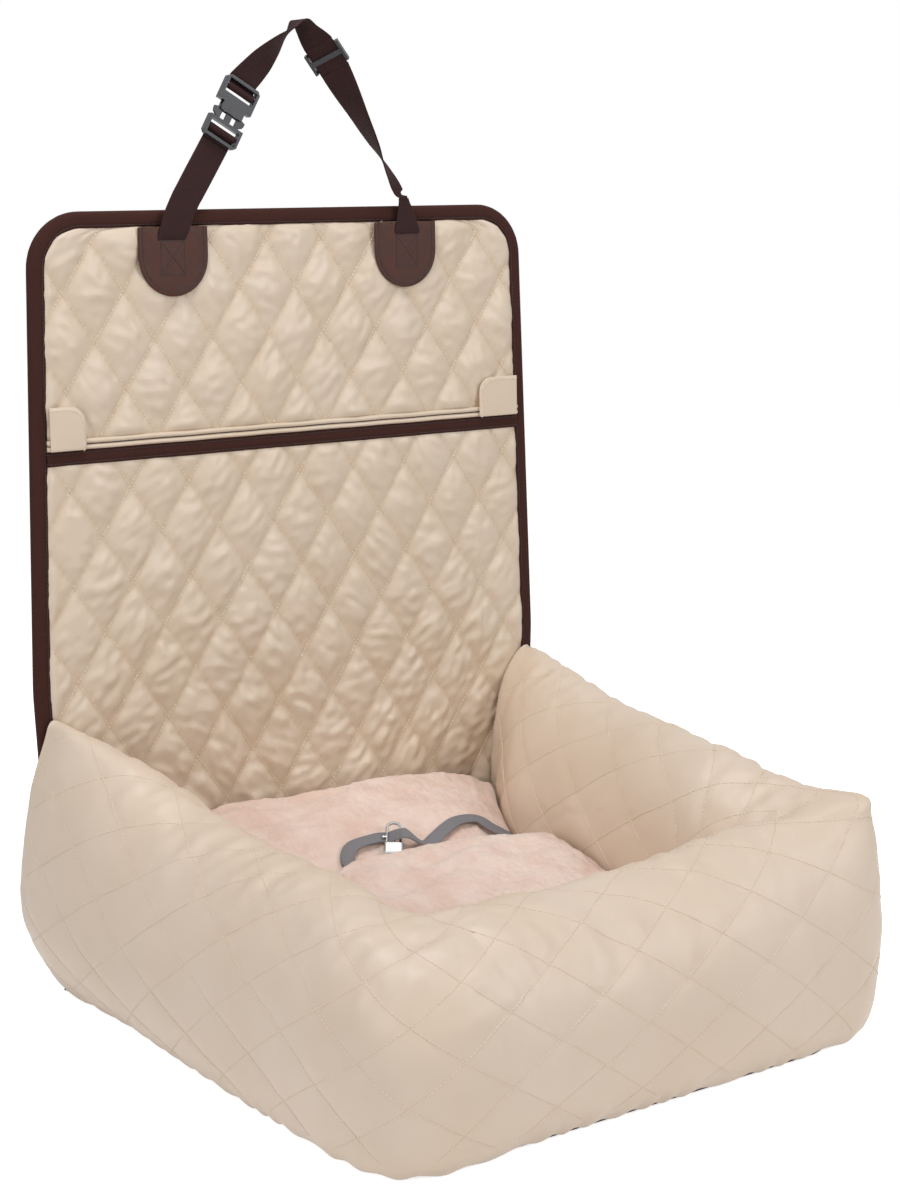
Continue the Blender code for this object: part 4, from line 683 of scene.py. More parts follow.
@dataclass(frozen=True)
class Lattice:
    """Diamond quilting on a flat pattern: widths along and across, a crossing and a drift."""

    width: float
    height: float
    along: float
    across: float

    def phases(self, s: np.ndarray, t: np.ndarray) -> tuple:
        """The two families of seams: each seam is where its phase is a whole number."""
        first = (s - self.along) / self.width
        second = (t - self.across) / self.height
        return first + second, first - second

    def puff(self, s: np.ndarray, t: np.ndarray) -> np.ndarray:
        """Rise of the stuffing: none on a seam and one at a diamond's middle."""
        rising, falling = self.phases(s, t)
        return np.abs(np.sin(math.pi * rising) * np.sin(math.pi * falling)) ** 0.5

    def snap(self, s: np.ndarray, t: np.ndarray, cell: tuple) -> tuple:
        """Move grid points that lie near a seam onto it.

        Args:
            s: Places along the pattern.
            t: Places across the pattern.
            cell: The grid's spacing along and across.

        Returns:
            The moved places and a mask of the points that lie on a seam.
        """
        slopes = np.array([[1 / self.width, 1 / self.height], [1 / self.width, -1 / self.height]])
        length = np.linalg.norm(slopes[0])
        reach = 0.5 * max(cell[0] / self.width, cell[1] / self.height) / length * 1.02
        first, second = self.phases(s, t)
        rest = [first - np.round(first), second - np.round(second)]
        near = [np.abs(rest[0]) / length < reach, np.abs(rest[1]) / length < reach]
        moved_s, moved_t = s.copy(), t.copy()
        for family in (0, 1):
            only = near[family] & ~near[1 - family]
            moved_s[only] -= rest[family][only] * slopes[family][0] / length ** 2
            moved_t[only] -= rest[family][only] * slopes[family][1] / length ** 2
        both = near[0] & near[1]
        shift = np.linalg.solve(slopes, np.stack([rest[0][both], rest[1][both]]))
        moved_s[both] -= shift[0]
        moved_t[both] -= shift[1]
        return moved_s, moved_t, near[0] | near[1]

    def seam_lines(self, low: tuple, high: tuple, step: float) -> list:
        """Rows of places along every seam inside a rectangle of the pattern."""
        lines = []
        corners = [(s, t) for s in (low[0], high[0]) for t in (low[1], high[1])]
        for family in (0, 1):
            sign = 1 if family == 0 else -1
            values = [self.phases(np.array(s), np.array(t))[family] for s, t in corners]
            for number in range(math.ceil(min(values)), math.floor(max(values)) + 1):
                span = np.arange(low[0], high[0] + step, step)
                t = self.across + sign * self.height * (number - (span - self.along) / self.width)
                inside = (t >= low[1]) & (t <= high[1])
                if inside.sum() > 3:
                    lines.append(np.stack([span[inside], t[inside]], axis=1))
        return lines


@dataclass(frozen=True)
class Stuffing:
    """How a quilted cloth swells between its seams."""

    pressure: float = 4.0
    spare: float = 0.03
    bending: float = 0.05
    frames: int = 20
    cap: float = 0.006
    rise: float = 0.003

    def swell(self, points: np.ndarray, faces: list, held: np.ndarray, normals: np.ndarray,
              puff: np.ndarray) -> np.ndarray:
        """Let the cloth between held points swell and wrinkle.

        Args:
            points: The cloth's places with its seams where they are sewn.
            faces: Its faces, pointing out.
            held: Mask of the points that don't move.
            normals: Direction out of the cloth at each point.
            puff: Rise from 0 to 1 used where no simulation is run.

        Returns:
            The places after swelling.
        """
        piece = mesh_object("swelling", points + normals * (puff * self.rise * 0.3)[:, None], faces)
        group = piece.vertex_groups.new(name="sewn")
        group.add([int(index) for index in np.nonzero(held)[0]], 1.0, "REPLACE")
        modifier = piece.modifiers.new("cloth", "CLOTH")
        cloth = modifier.settings
        cloth.quality = 6
        cloth.mass = 0.15
        cloth.tension_stiffness = 18
        cloth.compression_stiffness = 14
        cloth.shear_stiffness = 6
        cloth.bending_stiffness = self.bending
        cloth.tension_damping = 8
        cloth.compression_damping = 8
        cloth.shear_damping = 8
        cloth.bending_damping = 0.6
        cloth.air_damping = 2
        cloth.use_pressure = True
        cloth.uniform_pressure_force = self.pressure
        cloth.shrink_min = -self.spare
        cloth.vertex_group_mass = "sewn"
        cloth.pin_stiffness = 1.0
        cloth.effector_weights.gravity = 0.0
        modifier.collision_settings.use_collision = False
        modifier.point_cache.frame_start = 1
        modifier.point_cache.frame_end = self.frames
        scene = bpy.context.scene
        for moment in range(1, self.frames + 1):
            scene.frame_set(moment)
        evaluated = piece.evaluated_get(bpy.context.evaluated_depsgraph_get())
        swollen = np.empty(len(points) * 3)
        evaluated.data.vertices.foreach_get("co", swollen)
        swollen = swollen.reshape(-1, 3)
        mesh = piece.data
        bpy.data.objects.remove(piece, do_unlink=True)
        bpy.data.meshes.remove(mesh)
        scene.frame_set(1)
        shift = swollen - points
        risen = float(np.percentile(np.sum(shift * normals, axis=1)[~held], 80))
        LOG.info("swelling: the stuffing rises %.1f mm", 1000 * risen)
        if risen > self.rise:
            shift *= self.rise / risen
        missing = np.maximum(puff * self.rise - np.sum(shift * normals, axis=1), 0)
        shift += normals * missing[:, None] * 0.85
        size = np.linalg.norm(shift, axis=1, keepdims=True)
        shift *= np.minimum(1.0, self.cap / np.maximum(size, 1e-9))
        return points + shift


def grid_normals(points: np.ndarray, rows: int, columns: int, wrap: bool) -> np.ndarray:
    """Directions out of a grid of points.

    Args:
        points: Places, row by row.
        rows: Number of rows.
        columns: Number of points in each row.
        wrap: Whether each row closes on itself.

    Returns:
        One unit direction for each point.
    """
    grid = points.reshape(rows, columns, 3)
    down = np.gradient(grid, axis=0)
    if wrap:
        along = (np.roll(grid, -1, axis=1) - np.roll(grid, 1, axis=1)) / 2
    else:
        along = np.gradient(grid, axis=1)
    normals = np.cross(along, down).reshape(-1, 3)
    return normals / np.maximum(np.linalg.norm(normals, axis=1, keepdims=True), 1e-12)


def paint_seam_shade(piece: bpy.types.Object, values: np.ndarray) -> None:
    """Keep each point's nearness to a seam as painted shade in the seam valleys, for the satin's colour."""
    attribute = piece.data.attributes.new("seam", "FLOAT", "POINT")
    attribute.data.foreach_set("value", values.astype(np.float32))


# Bed


@dataclass(frozen=True)
class Station:
    """One section of the bolster cover, from its outer floor edge to its inner one.

    outer and inner are places on the floor, ridge is the distance in from the outer edge to the
    ridge, and bulge is how far the outer side stands out.
    """

    outer: tuple
    inner: tuple
    ridge: float
    height: float
    bulge: float
    belly: float = 0.5


LEFT_ARM = (
    Station((-0.266, 0.252), (-0.234, 0.252), -0.010, 0.271, 0.049, 0.42),
    Station((-0.265, 0.228), (-0.216, 0.228), -0.004, 0.264, 0.053, 0.42),
    Station((-0.263, 0.200), (-0.197, 0.200), 0.003, 0.255, 0.054, 0.43),
    Station((-0.262, 0.150), (-0.172, 0.150), 0.020, 0.236, 0.051, 0.45),
    Station((-0.265, 0.100), (-0.163, 0.100), 0.041, 0.216, 0.042, 0.46),
    Station((-0.268, 0.050), (-0.159, 0.050), 0.049, 0.208, 0.033, 0.47),
    Station((-0.270, 0.000), (-0.156, 0.000), 0.053, 0.204, 0.026, 0.48),
    Station((-0.272, -0.050), (-0.153, -0.050), 0.056, 0.203, 0.019),
    Station((-0.272, -0.100), (-0.151, -0.100), 0.058, 0.201, 0.014),
    Station((-0.272, -0.150), (-0.150, -0.124), 0.062, 0.198, 0.011),
)
LEFT_CORNER = (
    Station((-0.271, -0.200), (-0.148, -0.134), 0.072, 0.191, 0.009),
    Station((-0.257, -0.252), (-0.144, -0.140), 0.094, 0.187, 0.006),
    Station((-0.211, -0.272), (-0.136, -0.143), 0.086, 0.187, 0.010),
)
FRONT_RUN = (
    Station((-0.152, -0.268), (-0.118, -0.143), 0.068, 0.189, 0.017),
    Station((-0.100, -0.265), (-0.090, -0.142), 0.062, 0.190, 0.020),
    Station((-0.050, -0.265), (-0.048, -0.141), 0.062, 0.187, 0.021),
    Station((0.000, -0.265), (0.000, -0.140), 0.062, 0.190, 0.020),
    Station((0.050, -0.265), (0.048, -0.140), 0.062, 0.193, 0.019),
    Station((0.100, -0.265), (0.090, -0.141), 0.061, 0.197, 0.018),
    Station((0.150, -0.265), (0.122, -0.142), 0.060, 0.202, 0.015),
    Station((0.195, -0.264), (0.138, -0.143), 0.054, 0.208, 0.013),
)
RIGHT_CORNER = (
    Station((0.234, -0.262), (0.146, -0.142), 0.036, 0.213, 0.013),
    Station((0.262, -0.249), (0.149, -0.140), 0.004, 0.225, 0.014),
    Station((0.271, -0.215), (0.151, -0.136), 0.032, 0.224, 0.015),
)
RIGHT_ARM = (
    Station((0.272, -0.165), (0.151, -0.124), 0.046, 0.229, 0.014),
    Station((0.272, -0.100), (0.151, -0.100), 0.044, 0.240, 0.013),
    Station((0.272, -0.050), (0.152, -0.050), 0.041, 0.243, 0.016),
    Station((0.272, 0.000), (0.155, 0.000), 0.035, 0.246, 0.019),
    Station((0.272, 0.050), (0.158, 0.050), 0.025, 0.246, 0.023),
    Station((0.272, 0.100), (0.163, 0.100), 0.016, 0.249, 0.028),
    Station((0.272, 0.150), (0.171, 0.150), 0.005, 0.255, 0.033),
    Station((0.272, 0.200), (0.196, 0.200), -0.001, 0.263, 0.035),
    Station((0.272, 0.228), (0.214, 0.228), -0.004, 0.268, 0.034),
    Station((0.272, 0.252), (0.232, 0.252), -0.006, 0.273, 0.031),
)


@dataclass
class BolsterCover:
    """Quilted satin cover over the three stuffed bolsters, in one piece round the bed."""

    finishes: Finishes
    sewing: Sewing
    floor: float = 0.0065
    cell: tuple = (0.0072, 0.0052)
    girth: float = 0.60
    around: int = 116
    lattice: Lattice = Lattice(0.0895, 0.0640, 0.031, 0.012)
    stuffing: Stuffing = Stuffing(pressure=1.2, spare=0.014, bending=0.05, frames=16, cap=0.0060, rise=0.0019)
    setback: float = 0.0006

    def section(self, station: np.ndarray) -> np.ndarray:
        """Closed outline of one section as rows of distance in and height.

        Args:
            station: Depth from edge to edge, ridge, height, bulge and belly.

        Returns:
            Evenly spaced points, starting under the section's middle.
        """
        depth, ridge, height, bulge, belly = station
        low = self.floor
        knots = [
            (0.50 * depth, low), (0.17 * depth, low), (0.07 * depth, 0.0028), (-0.25 * bulge, 0.012 + 0.02 * height),
            (-0.80 * bulge, 0.24 * height), (-bulge, belly * height), (-0.72 * bulge + 0.10 * ridge, 0.74 * height),
            (0.42 * ridge - 0.30 * bulge, 0.93 * height), (ridge, height),
            (ridge + 0.42 * (depth - ridge), 0.955 * height), (ridge + 0.78 * (depth - ridge), 0.83 * height),
            (0.985 * depth, 0.62 * height), (depth, 0.38 * height), (0.97 * depth, 0.12 * height), (0.88 * depth, low)]
        path = smooth_path(knots, 0.001, closed=True)
        path = np.vstack([path, path[:1]])
        lengths = np.concatenate([[0], np.cumsum(np.linalg.norm(np.diff(path, axis=0), axis=1))])
        places = np.linspace(0, lengths[-1], 241)[:-1]
        outline = np.stack([np.interp(places, lengths, path[:, axis]) for axis in (0, 1)], axis=1)
        outline[:, 1] = np.maximum(outline[:, 1], np.where(outline[:, 0] > 0.15 * depth, low, 0.0012))
        return outline

    def skin(self) -> tuple:
        """Smooth skin of the cover through every station.

        Returns:
            The places along its outer edge, and one ring of points for each.
        """
        stations = LEFT_ARM + LEFT_CORNER + FRONT_RUN + RIGHT_CORNER + RIGHT_ARM
        rows = []
        for item in stations:
            depth = math.dist(item.outer, item.inner)
            rows.append([*item.outer, *item.inner, depth, item.ridge, item.height, item.bulge, item.belly])
        fine = smooth_path(rows, 0.004)
        lengths = np.concatenate([[0], np.cumsum(np.linalg.norm(np.diff(fine[:, :2], axis=0), axis=1))])
        rings = []
        for row in fine:
            outer, inner = row[:2], row[2:4]
            depth = float(np.linalg.norm(inner - outer))
            inward = (inner - outer) / depth
            outline = self.section(np.array([depth, *row[5:9]]))
            flat = outer + outline[:, :1] * inward
            rings.append(np.column_stack([flat, outline[:, 1]]))
        return lengths, np.array(rings)

    def read(self, lengths: np.ndarray, rings: np.ndarray, s: np.ndarray, t: np.ndarray) -> np.ndarray:
        """Places on the skin at distances along it and round it."""
        row = np.interp(s, lengths, np.arange(len(lengths)))
        count = rings.shape[1]
        column = (t / self.girth) * count
        low_row = np.clip(np.floor(row).astype(int), 0, len(lengths) - 2)
        share_row = (row - low_row)[..., None]
        low_column = np.floor(column).astype(int)
        share_column = (column - low_column)[..., None]
        a = rings[low_row, low_column % count]
        b = rings[low_row, (low_column + 1) % count]
        c = rings[low_row + 1, low_column % count]
        d = rings[low_row + 1, (low_column + 1) % count]
        return (a * (1 - share_column) + b * share_column) * (1 - share_row) + (
            c * (1 - share_column) + d * share_column) * share_row

    def drift(self, s: np.ndarray, length: float) -> np.ndarray:
        """Slant of the quilting: it climbs on the left arm and falls along the front."""
        place = s / length
        return 0.5 * self.lattice.height * np.sin(2 * math.pi * (place - 0.12))

    def build(self) -> bpy.types.Object:
        """Build the cover with its seams, swollen cloth and stitches."""
        lengths, rings = self.skin()
        total = lengths[-1]
        rows = int(round(total / self.cell[0])) + 1
        s = np.repeat(np.linspace(0, total, rows), self.around)
        t = np.tile(np.linspace(0, self.girth, self.around, endpoint=False), rows)
        slid = t - self.drift(s, total)
        moved_s, moved_t, on_seam = self.lattice.snap(s, slid, (total / (rows - 1), self.girth / self.around))
        edge = (s < self.cell[0] * 0.6) | (s > total - self.cell[0] * 0.6)
        moved_s = np.where(edge, s, np.clip(moved_s, 0, total))
        points = self.read(lengths, rings, moved_s, moved_t + self.drift(s, total))
        faces = grid_faces(rows, self.around, wrap=True)
        normals = grid_normals(points, rows, self.around, wrap=True)
        centre = points.reshape(rows, self.around, 3).mean(axis=1).repeat(self.around, axis=0)
        if float(np.sum((points - centre) * normals)) < 0:
            normals = -normals
            faces = [face[::-1] for face in faces]
        puff = self.lattice.puff(moved_s, moved_t)
        low = points[:, 2] < self.floor + 0.004
        held = on_seam | edge | low
        fade = np.clip((points[:, 2] - self.floor) / 0.02, 0, 1) * np.clip(np.minimum(s, total - s) / 0.02, 0, 1)
        sunk = points - normals * (self.stuffing.rise * 0.25 * fade)[:, None]
        swollen = self.stuffing.swell(sunk, faces, held, normals, puff * fade)
        swollen = self.keep_clear(swollen, s, total)
        piece = mesh_object("bolster_cover", swollen, faces)
        # painted shade: the cover darkens in its seam valleys, where shade falls
        paint_seam_shade(piece, np.clip(1 - puff * 2.6, 0, 1) ** 2 * fade * 0.10)
        piece.data.materials.append(self.finishes.cover)
        refine(piece)
        close_rim(piece)
        self.close_wrinkles(piece)
        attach(piece, "root")
        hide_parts("bolster_left", "bolster_front", "bolster_right")
        self.stitch(piece, lengths, rings, total)
        return piece

    def keep_clear(self, points: np.ndarray, s: np.ndarray, total: float) -> np.ndarray:
        """Keep the cover above the floor and in front of the back panel."""
        points = points.copy()
        points[:, 2] = np.maximum(points[:, 2], 0.0008)
        wall = PANEL.face_y + points[:, 2] * math.tan(PANEL.lean) - self.setback
        flat = (s < 0.008) | (s > total - 0.008)
        points[:, 1] = np.where(flat & (points[:, 1] > 0.2), wall, np.minimum(points[:, 1], wall))
        return points

    def close_wrinkles(self, piece: bpy.types.Object) -> None:
        """Lay fine pulled wrinkles in the satin, strongest on the shoulders and by the corners."""
        mesh = piece.data
        count = len(mesh.vertices)
        points = np.empty(count * 3)
        mesh.vertices.foreach_get("co", points)
        points = points.reshape(-1, 3)
        normals = np.empty(count * 3)
        mesh.vertices.foreach_get("normal", normals)
        normals = normals.reshape(-1, 3)
        stretch = np.array([1.0, 1.0, 0.38])
        lean = np.where(np.abs(points[:, 0]) > 0.16, points[:, 1], points[:, 0]) + 0.55 * points[:, 2]
        turned = np.column_stack([lean, 0.4 * points[:, 1] - 0.4 * points[:, 0], points[:, 2]])
        fold = field_noise(points * stretch + field_noise(points, 0.05, 3.1)[:, None] * 0.006, 0.013, 5.0)
        broad = field_noise(points, 0.075, 9.0)
        corner = np.exp(-((np.abs(points[:, 0]) - 0.20) ** 2 + (points[:, 1] + 0.19) ** 2) / 0.006)
        shoulder = np.clip((points[:, 2] - 0.10) / 0.08, 0, 1)
        pulled = field_noise(turned * np.array([1.0, 0.8, 0.22]), 0.019, 11.0)
        gate = np.clip(0.45 + 0.35 * (points[:, 0] < -0.12) + 1.5 * field_noise(points, 0.11, 13.0), 0, 1)
        strength = 0.0003 + 0.0007 * shoulder * gate + 0.0005 * corner * shoulder
        shift = fold * strength + pulled * gate * (0.0006 + 0.0027 * shoulder) + broad * 0.0012
        shift *= np.clip((points[:, 2] - self.floor - 0.001) / 0.01, 0, 1)
        scallop = 0.0016 * np.sin(np.arctan2(points[:, 1], points[:, 0]) * 60 + 6 * broad)
        points[:, 2] += scallop * np.clip(1 - points[:, 2] / 0.03, 0, 1) * (points[:, 2] < 0.03) * (points[:, 2] > 0.0022)
        shift *= np.clip((PANEL.face_y - points[:, 1]) / 0.01, 0, 1)
        points += normals * shift[:, None]
        mesh.vertices.foreach_set("co", points.ravel())
        mesh.update()

    def stitch(self, piece: bpy.types.Object, lengths: np.ndarray, rings: np.ndarray, total: float) -> None:
        """Sew the visible seams of the cover."""
        surface = surface_of(piece)
        lines = []
        for row in self.lattice.seam_lines((0.004, 0.02), (total - 0.004, self.girth - 0.06), 0.003):
            t = row[:, 1] + self.drift(row[:, 0], total)
            places = self.read(lengths, rings, row[:, 0], t)
            shown = places[:, 2] > self.floor + 0.012
            if shown.sum() > 4:
                lines.append(lay_on(surface, places[shown], 0.0002))
        rows = self.sewing.rows("bolster_stitches", lines, self.finishes.cream_thread)
        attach(rows, "root")


@dataclass
class SeatPad:
    """Plush pad that lies in the bed: a hump in front, a hollow and a slope up to the panel."""

    finishes: Finishes
    across: int = 120
    along: int = 116
    front: float = -0.148
    back: float = 0.2515
    floor: float = 0.0065

    def half_width(self, y: np.ndarray) -> np.ndarray:
        """Half width between the bolsters, over which the pad's edge tucks in."""
        places = [-0.15, -0.10, -0.05, 0.0, 0.05, 0.10, 0.15, 0.175, 0.20, 0.225, 0.252]
        widths = [0.147, 0.149, 0.150, 0.153, 0.156, 0.161, 0.169, 0.180, 0.194, 0.211, 0.228]
        return np.interp(y, places, widths) - 0.001

    def tops(self, x: np.ndarray, y: np.ndarray) -> np.ndarray:
        """Heights of the frame's own pad under many places."""
        solid = frame["nodes"]["seat_pad"]
        surface = surface_of(solid)
        heights = []
        for place_x, place_y in zip(x, y):
            hit = surface.ray_cast(Vector((place_x, min(place_y, 0.2500), 1.0)), Vector((0, 0, -1)))
            heights.append(hit[0].z if hit[0] else np.nan)
        return np.array(heights)

    def build(self) -> bpy.types.Object:
        """Build the pad with its lumps, folds and tucked edges."""
        v = np.linspace(self.front, self.back, self.along)
        u = np.linspace(-1, 1, self.across)
        half = self.half_width(v)
        x = (half[:, None] * u[None, :]).ravel()
        y = np.repeat(v, self.across)
        inner_x = np.clip(x, -(np.repeat(half, self.across) - 0.016), np.repeat(half, self.across) - 0.016)
        heights = self.tops(inner_x, np.clip(y, -0.128, 0.2500))
        places = np.column_stack([x, y, np.zeros(len(x))])
        lump = field_noise(places * np.array([0.8, 1.3, 1]), 0.055, 2.0)
        fold = field_noise(places * np.array([0.55, 1.6, 1]) + lump[:, None] * 0.01, 0.028, 7.0)
        crease = -np.exp(-((y - 0.006 - 0.035 * np.sin(9 * x + 0.6)) / 0.010) ** 2) * np.clip(0.6 - np.abs(x) * 3, 0, 1)
        side = np.clip((1 - np.abs(np.tile(u, self.along))) * np.repeat(half, self.across) / 0.02, 0, 1)
        near_tether = np.exp(-((y - 0.118) / 0.035) ** 2) * np.clip((x + 0.08) / 0.02, 0, 1)
        calm = 1 - 0.92 * near_tether
        heights = heights + side * calm * (0.0068 * lump + 0.0044 * fold + 0.0058 * crease) - near_tether * 0.0006
        drop = 1 - np.sqrt(np.clip(1 - (1 - side) ** 2, 0, 1))
        heights -= drop * 0.020
        front_drop = np.clip(1 - (y - self.front) / 0.022, 0, 1)
        heights -= 0.030 * front_drop ** 2
        back_drop = np.clip(1 - (self.back - y) / 0.012, 0, 1)
        heights -= 0.006 * back_drop ** 2
        top = np.column_stack([x, y, heights])
        faces = [face[::-1] for face in grid_faces(self.along, self.across)]
        piece = mesh_object("plush_pad", top, faces)
        piece.data.materials.append(self.finishes.plush)
        refine(piece)
        close_rim(piece, lambda place: Vector((place.x, place.y, self.floor)))
        self.ruffle(piece)
        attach(piece, "root")
        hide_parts("seat_pad")
        return piece

    def ruffle(self, piece: bpy.types.Object) -> None:
        """Part the pile into small clumps in the mesh itself."""
        mesh = piece.data
        count = len(mesh.vertices)
        points = np.empty(count * 3)
        mesh.vertices.foreach_get("co", points)
        points = points.reshape(-1, 3)
        shift = field_noise(points, 0.0085, 4.0) * 0.0011 + field_noise(points, 0.0042, 6.0) * 0.0008
        points[:, 2] += np.where(points[:, 2] > 0.03, shift, 0.0)
        mesh.vertices.foreach_set("co", points.ravel())
        mesh.update()


# Back panel


def weave_map(piece: bpy.types.Object, values: np.ndarray) -> None:
    """Give a strip its UV map, in metres along and across it, from one value pair for each point."""
    mesh = piece.data
    layer = mesh.uv_layers.new(name="weave")
    corners = np.empty(len(mesh.loops), int)
    mesh.loops.foreach_get("vertex_index", corners)
    layer.data.foreach_set("uv", values[corners].astype(np.float32).ravel())


def sweep(name: str, path: np.ndarray, frames: list, profile: list, finish: bpy.types.Material) -> bpy.types.Object:
    """Sweep a closed profile along a path.

    Args:
        name: The piece's name.
        path: Places along it.
        frames: For each place, the directions of the profile's first and second axis.
        profile: Closed outline as pairs along these axes.
        finish: The material.

    Returns:
        A closed strip whose UV map follows it.
    """
    profile_points = np.array(profile, float)
    girth = np.concatenate([[0], np.cumsum(np.linalg.norm(np.diff(profile_points, axis=0), axis=1))])
    lengths = np.concatenate([[0], np.cumsum(np.linalg.norm(np.diff(path, axis=0), axis=1))])
    points, values = [], []
    for place, (first, second), length in zip(path, frames, lengths):
        for (a, b), round_it in zip(profile_points, girth):
            points.append(place + first * a + second * b)
            values.append((length, round_it))
    count = len(profile_points)
    faces = grid_faces(len(path), count, wrap=True)
    faces += [tuple(range(count))[::-1], tuple(range((len(path) - 1) * count, len(path) * count))]
    piece = mesh_object(name, np.array(points), faces)
    weave_map(piece, np.array(values))
    point_outwards(piece)
    piece.data.materials.append(finish)
    return piece


@dataclass
class QuiltedFace:
    """Quilted satin sheet on the back panel, between two heights."""

    name: str
    low: float
    high: float
    finishes: Finishes
    sewing: Sewing
    lattice: Lattice = Lattice(0.062, 0.0895, -0.0285, 0.4345)
    cells: int = 15
    inset: float = 0.0132
    thickness: float = 0.0058
    seam_depth: float = 0.0046
    stuffing: Stuffing = Stuffing(pressure=0.9, spare=0.020, bending=0.01, frames=20, cap=0.0088, rise=0.0056)

    def build(self) -> bpy.types.Object:
        """Build the sheet with its diamonds, puckers and back."""
        step_x, step_z = self.lattice.width / self.cells, self.lattice.height / self.cells
        widest = PANEL.fold_width / 2 - self.inset
        columns = int(2 * widest / step_x) + 1
        rows = int((self.high - self.low) / step_z) + 1
        across = np.tile(np.linspace(-1, 1, columns), rows)
        up = np.repeat(np.linspace(self.low, self.high, rows), columns)
        half = np.array([self.half(place) for place in up])
        x = across * half
        cell = (2 * widest / (columns - 1), (self.high - self.low) / (rows - 1))
        moved_x, moved_up, on_seam = self.lattice.snap(x, up, cell)
        rim = (np.abs(across) > 0.999) | (up <= self.low + 1e-6) | (up >= self.high - 1e-6)
        moved_x, moved_up = np.where(rim, x, moved_x), np.where(rim, up, moved_up)
        puff = self.lattice.puff(moved_x, moved_up)
        sink = np.where(rim, 0.0049, self.seam_depth)
        points = PANEL.places(np.column_stack([moved_x, sink, moved_up]))
        faces = grid_faces(rows, columns)
        normals = np.tile(np.array([0.0, -math.cos(PANEL.lean), math.sin(PANEL.lean)]), (len(points), 1))
        swollen = self.stuffing.swell(points, faces, on_seam | rim, normals, np.where(rim, 0, puff))
        depth = -(swollen[:, 1] - PANEL.face_y) + swollen[:, 2] * math.tan(PANEL.lean)
        swollen -= normals * np.maximum(depth - 0.0016, 0)[:, None] * 0.5
        piece = mesh_object(self.name, swollen, faces)
        # painted shade: the sheet darkens towards its seams, where shade falls in the valleys between the puffs
        paint_seam_shade(piece, np.where(rim, 0.0, np.clip(1 - puff * 2.0, 0, 1) ** 2))
        piece.data.materials.append(self.finishes.satin)
        refine(piece)
        self.crumple(piece)
        close_rim(piece, self.backed)
        return piece

    def half(self, up: float) -> float:
        """Half width of the sheet at a height, under the binding."""
        inset = self.inset
        radius = PANEL.corner_radius - inset
        top = PANEL.height - inset
        half = PANEL.half_width(up) - inset
        if up > top - radius:
            rise = min(up - (top - radius), radius)
            half -= radius - math.sqrt(max(radius ** 2 - rise ** 2, 0.0))
        return half

    def crumple(self, piece: bpy.types.Object) -> None:
        """Pucker the satin between its seams and flatten it under what is sewn over it."""
        mesh = piece.data
        count = len(mesh.vertices)
        points = np.empty(count * 3)
        mesh.vertices.foreach_get("co", points)
        points = points.reshape(-1, 3)
        normals = np.empty(count * 3)
        mesh.vertices.foreach_get("normal", normals)
        normals = normals.reshape(-1, 3)
        up = points[:, 2] / math.cos(PANEL.lean)
        puff = self.lattice.puff(points[:, 0], up)
        rising, falling = self.lattice.phases(points[:, 0], up)
        turn = 0.8 * np.sin(12.7 * np.floor(rising) + 5.3 * np.floor(falling))
        along = points[:, 0] * np.cos(turn) + up * np.sin(turn)
        aside = -points[:, 0] * np.sin(turn) + up * np.cos(turn)
        bent = np.column_stack([along, aside * 2.1, np.floor(rising) * 0.31 + np.floor(falling) * 0.17])
        warp = field_noise(points, 0.024, 4.4)
        fold = field_noise(bent + warp[:, None] * 0.007, 0.0165, 2.2)
        small = field_noise(points + warp[:, None] * 0.004, 0.0085, 7.7)
        inside = np.clip((PANEL.half_width(0.3) - 0.014 - np.abs(points[:, 0])) / 0.02, 0, 1)
        inside *= np.clip((self.high - up) / 0.012, 0, 1) * np.clip((up - self.low) / 0.012, 0, 1)
        low_share = np.clip((0.50 - up) / 0.25, 0.25, 1)
        shift = (0.0027 * fold * (0.45 + 0.55 * low_share) + 0.0004 * small) * np.clip(puff * 1.5, 0, 1) * (0.35 + 0.65 * inside)
        shift += 0.0012 * field_noise(points, 0.11, 9.1) * inside
        points += normals * shift[:, None]
        depth = (points[:, 1] - PANEL.face_y) * math.cos(PANEL.lean) - points[:, 2] * math.sin(PANEL.lean)
        covered = self.covered(points[:, 0], up)
        move = np.maximum(0.0004 - depth, 0) * covered + np.maximum(-0.0030 - depth, 0)
        points[:, 1] += move
        mesh.vertices.foreach_set("co", points.ravel())
        mesh.update()

    def covered(self, across: np.ndarray, up: np.ndarray) -> np.ndarray:
        """Share from 0 to 1 of how far places lie under the patches, the zip covers and the lips."""
        share = np.zeros(len(across))
        for middle in (-0.132, 0.1295):
            near = np.maximum(np.abs(across - middle) - 0.0365, 0.6517 - up)
            share = np.maximum(share, np.clip(1 - near / 0.004, 0, 1))
        half = PANEL.half_width(0.54)
        for side, width in ((-1, 0.036), (1, 0.048)):
            near = np.maximum(half - 0.013 - width - side * across, up - 0.5568)
            share = np.maximum(share, np.clip(1 - near / 0.004, 0, 1))
        return share

    def backed(self, place: Vector) -> Vector:
        """Place on the sheet's back behind a place on its rim."""
        depth = (place.y - PANEL.face_y) * math.cos(PANEL.lean) - place.z * math.sin(PANEL.lean)
        behind = self.thickness - depth
        return place + Vector((0.0, math.cos(PANEL.lean), -math.sin(PANEL.lean))) * behind

    def stitches(self, piece: bpy.types.Object) -> bpy.types.Object:
        """Sew the sheet's diamond seams."""
        surface = surface_of(piece)
        lines = []
        widest = PANEL.fold_width / 2
        for row in self.lattice.seam_lines((-widest, self.low + 0.002), (widest, self.high - 0.001), 0.003):
            inside = np.array([abs(x) < self.half(up) - 0.006 for x, up in row])
            if inside.sum() > 3:
                places = PANEL.places(np.column_stack([row[inside, 0], np.full(inside.sum(), self.seam_depth), row[inside, 1]]))
                lines.append(lay_on(surface, places, 0.0002))
        return self.sewing.rows(self.name + "_stitches", lines, self.finishes.cream_thread)


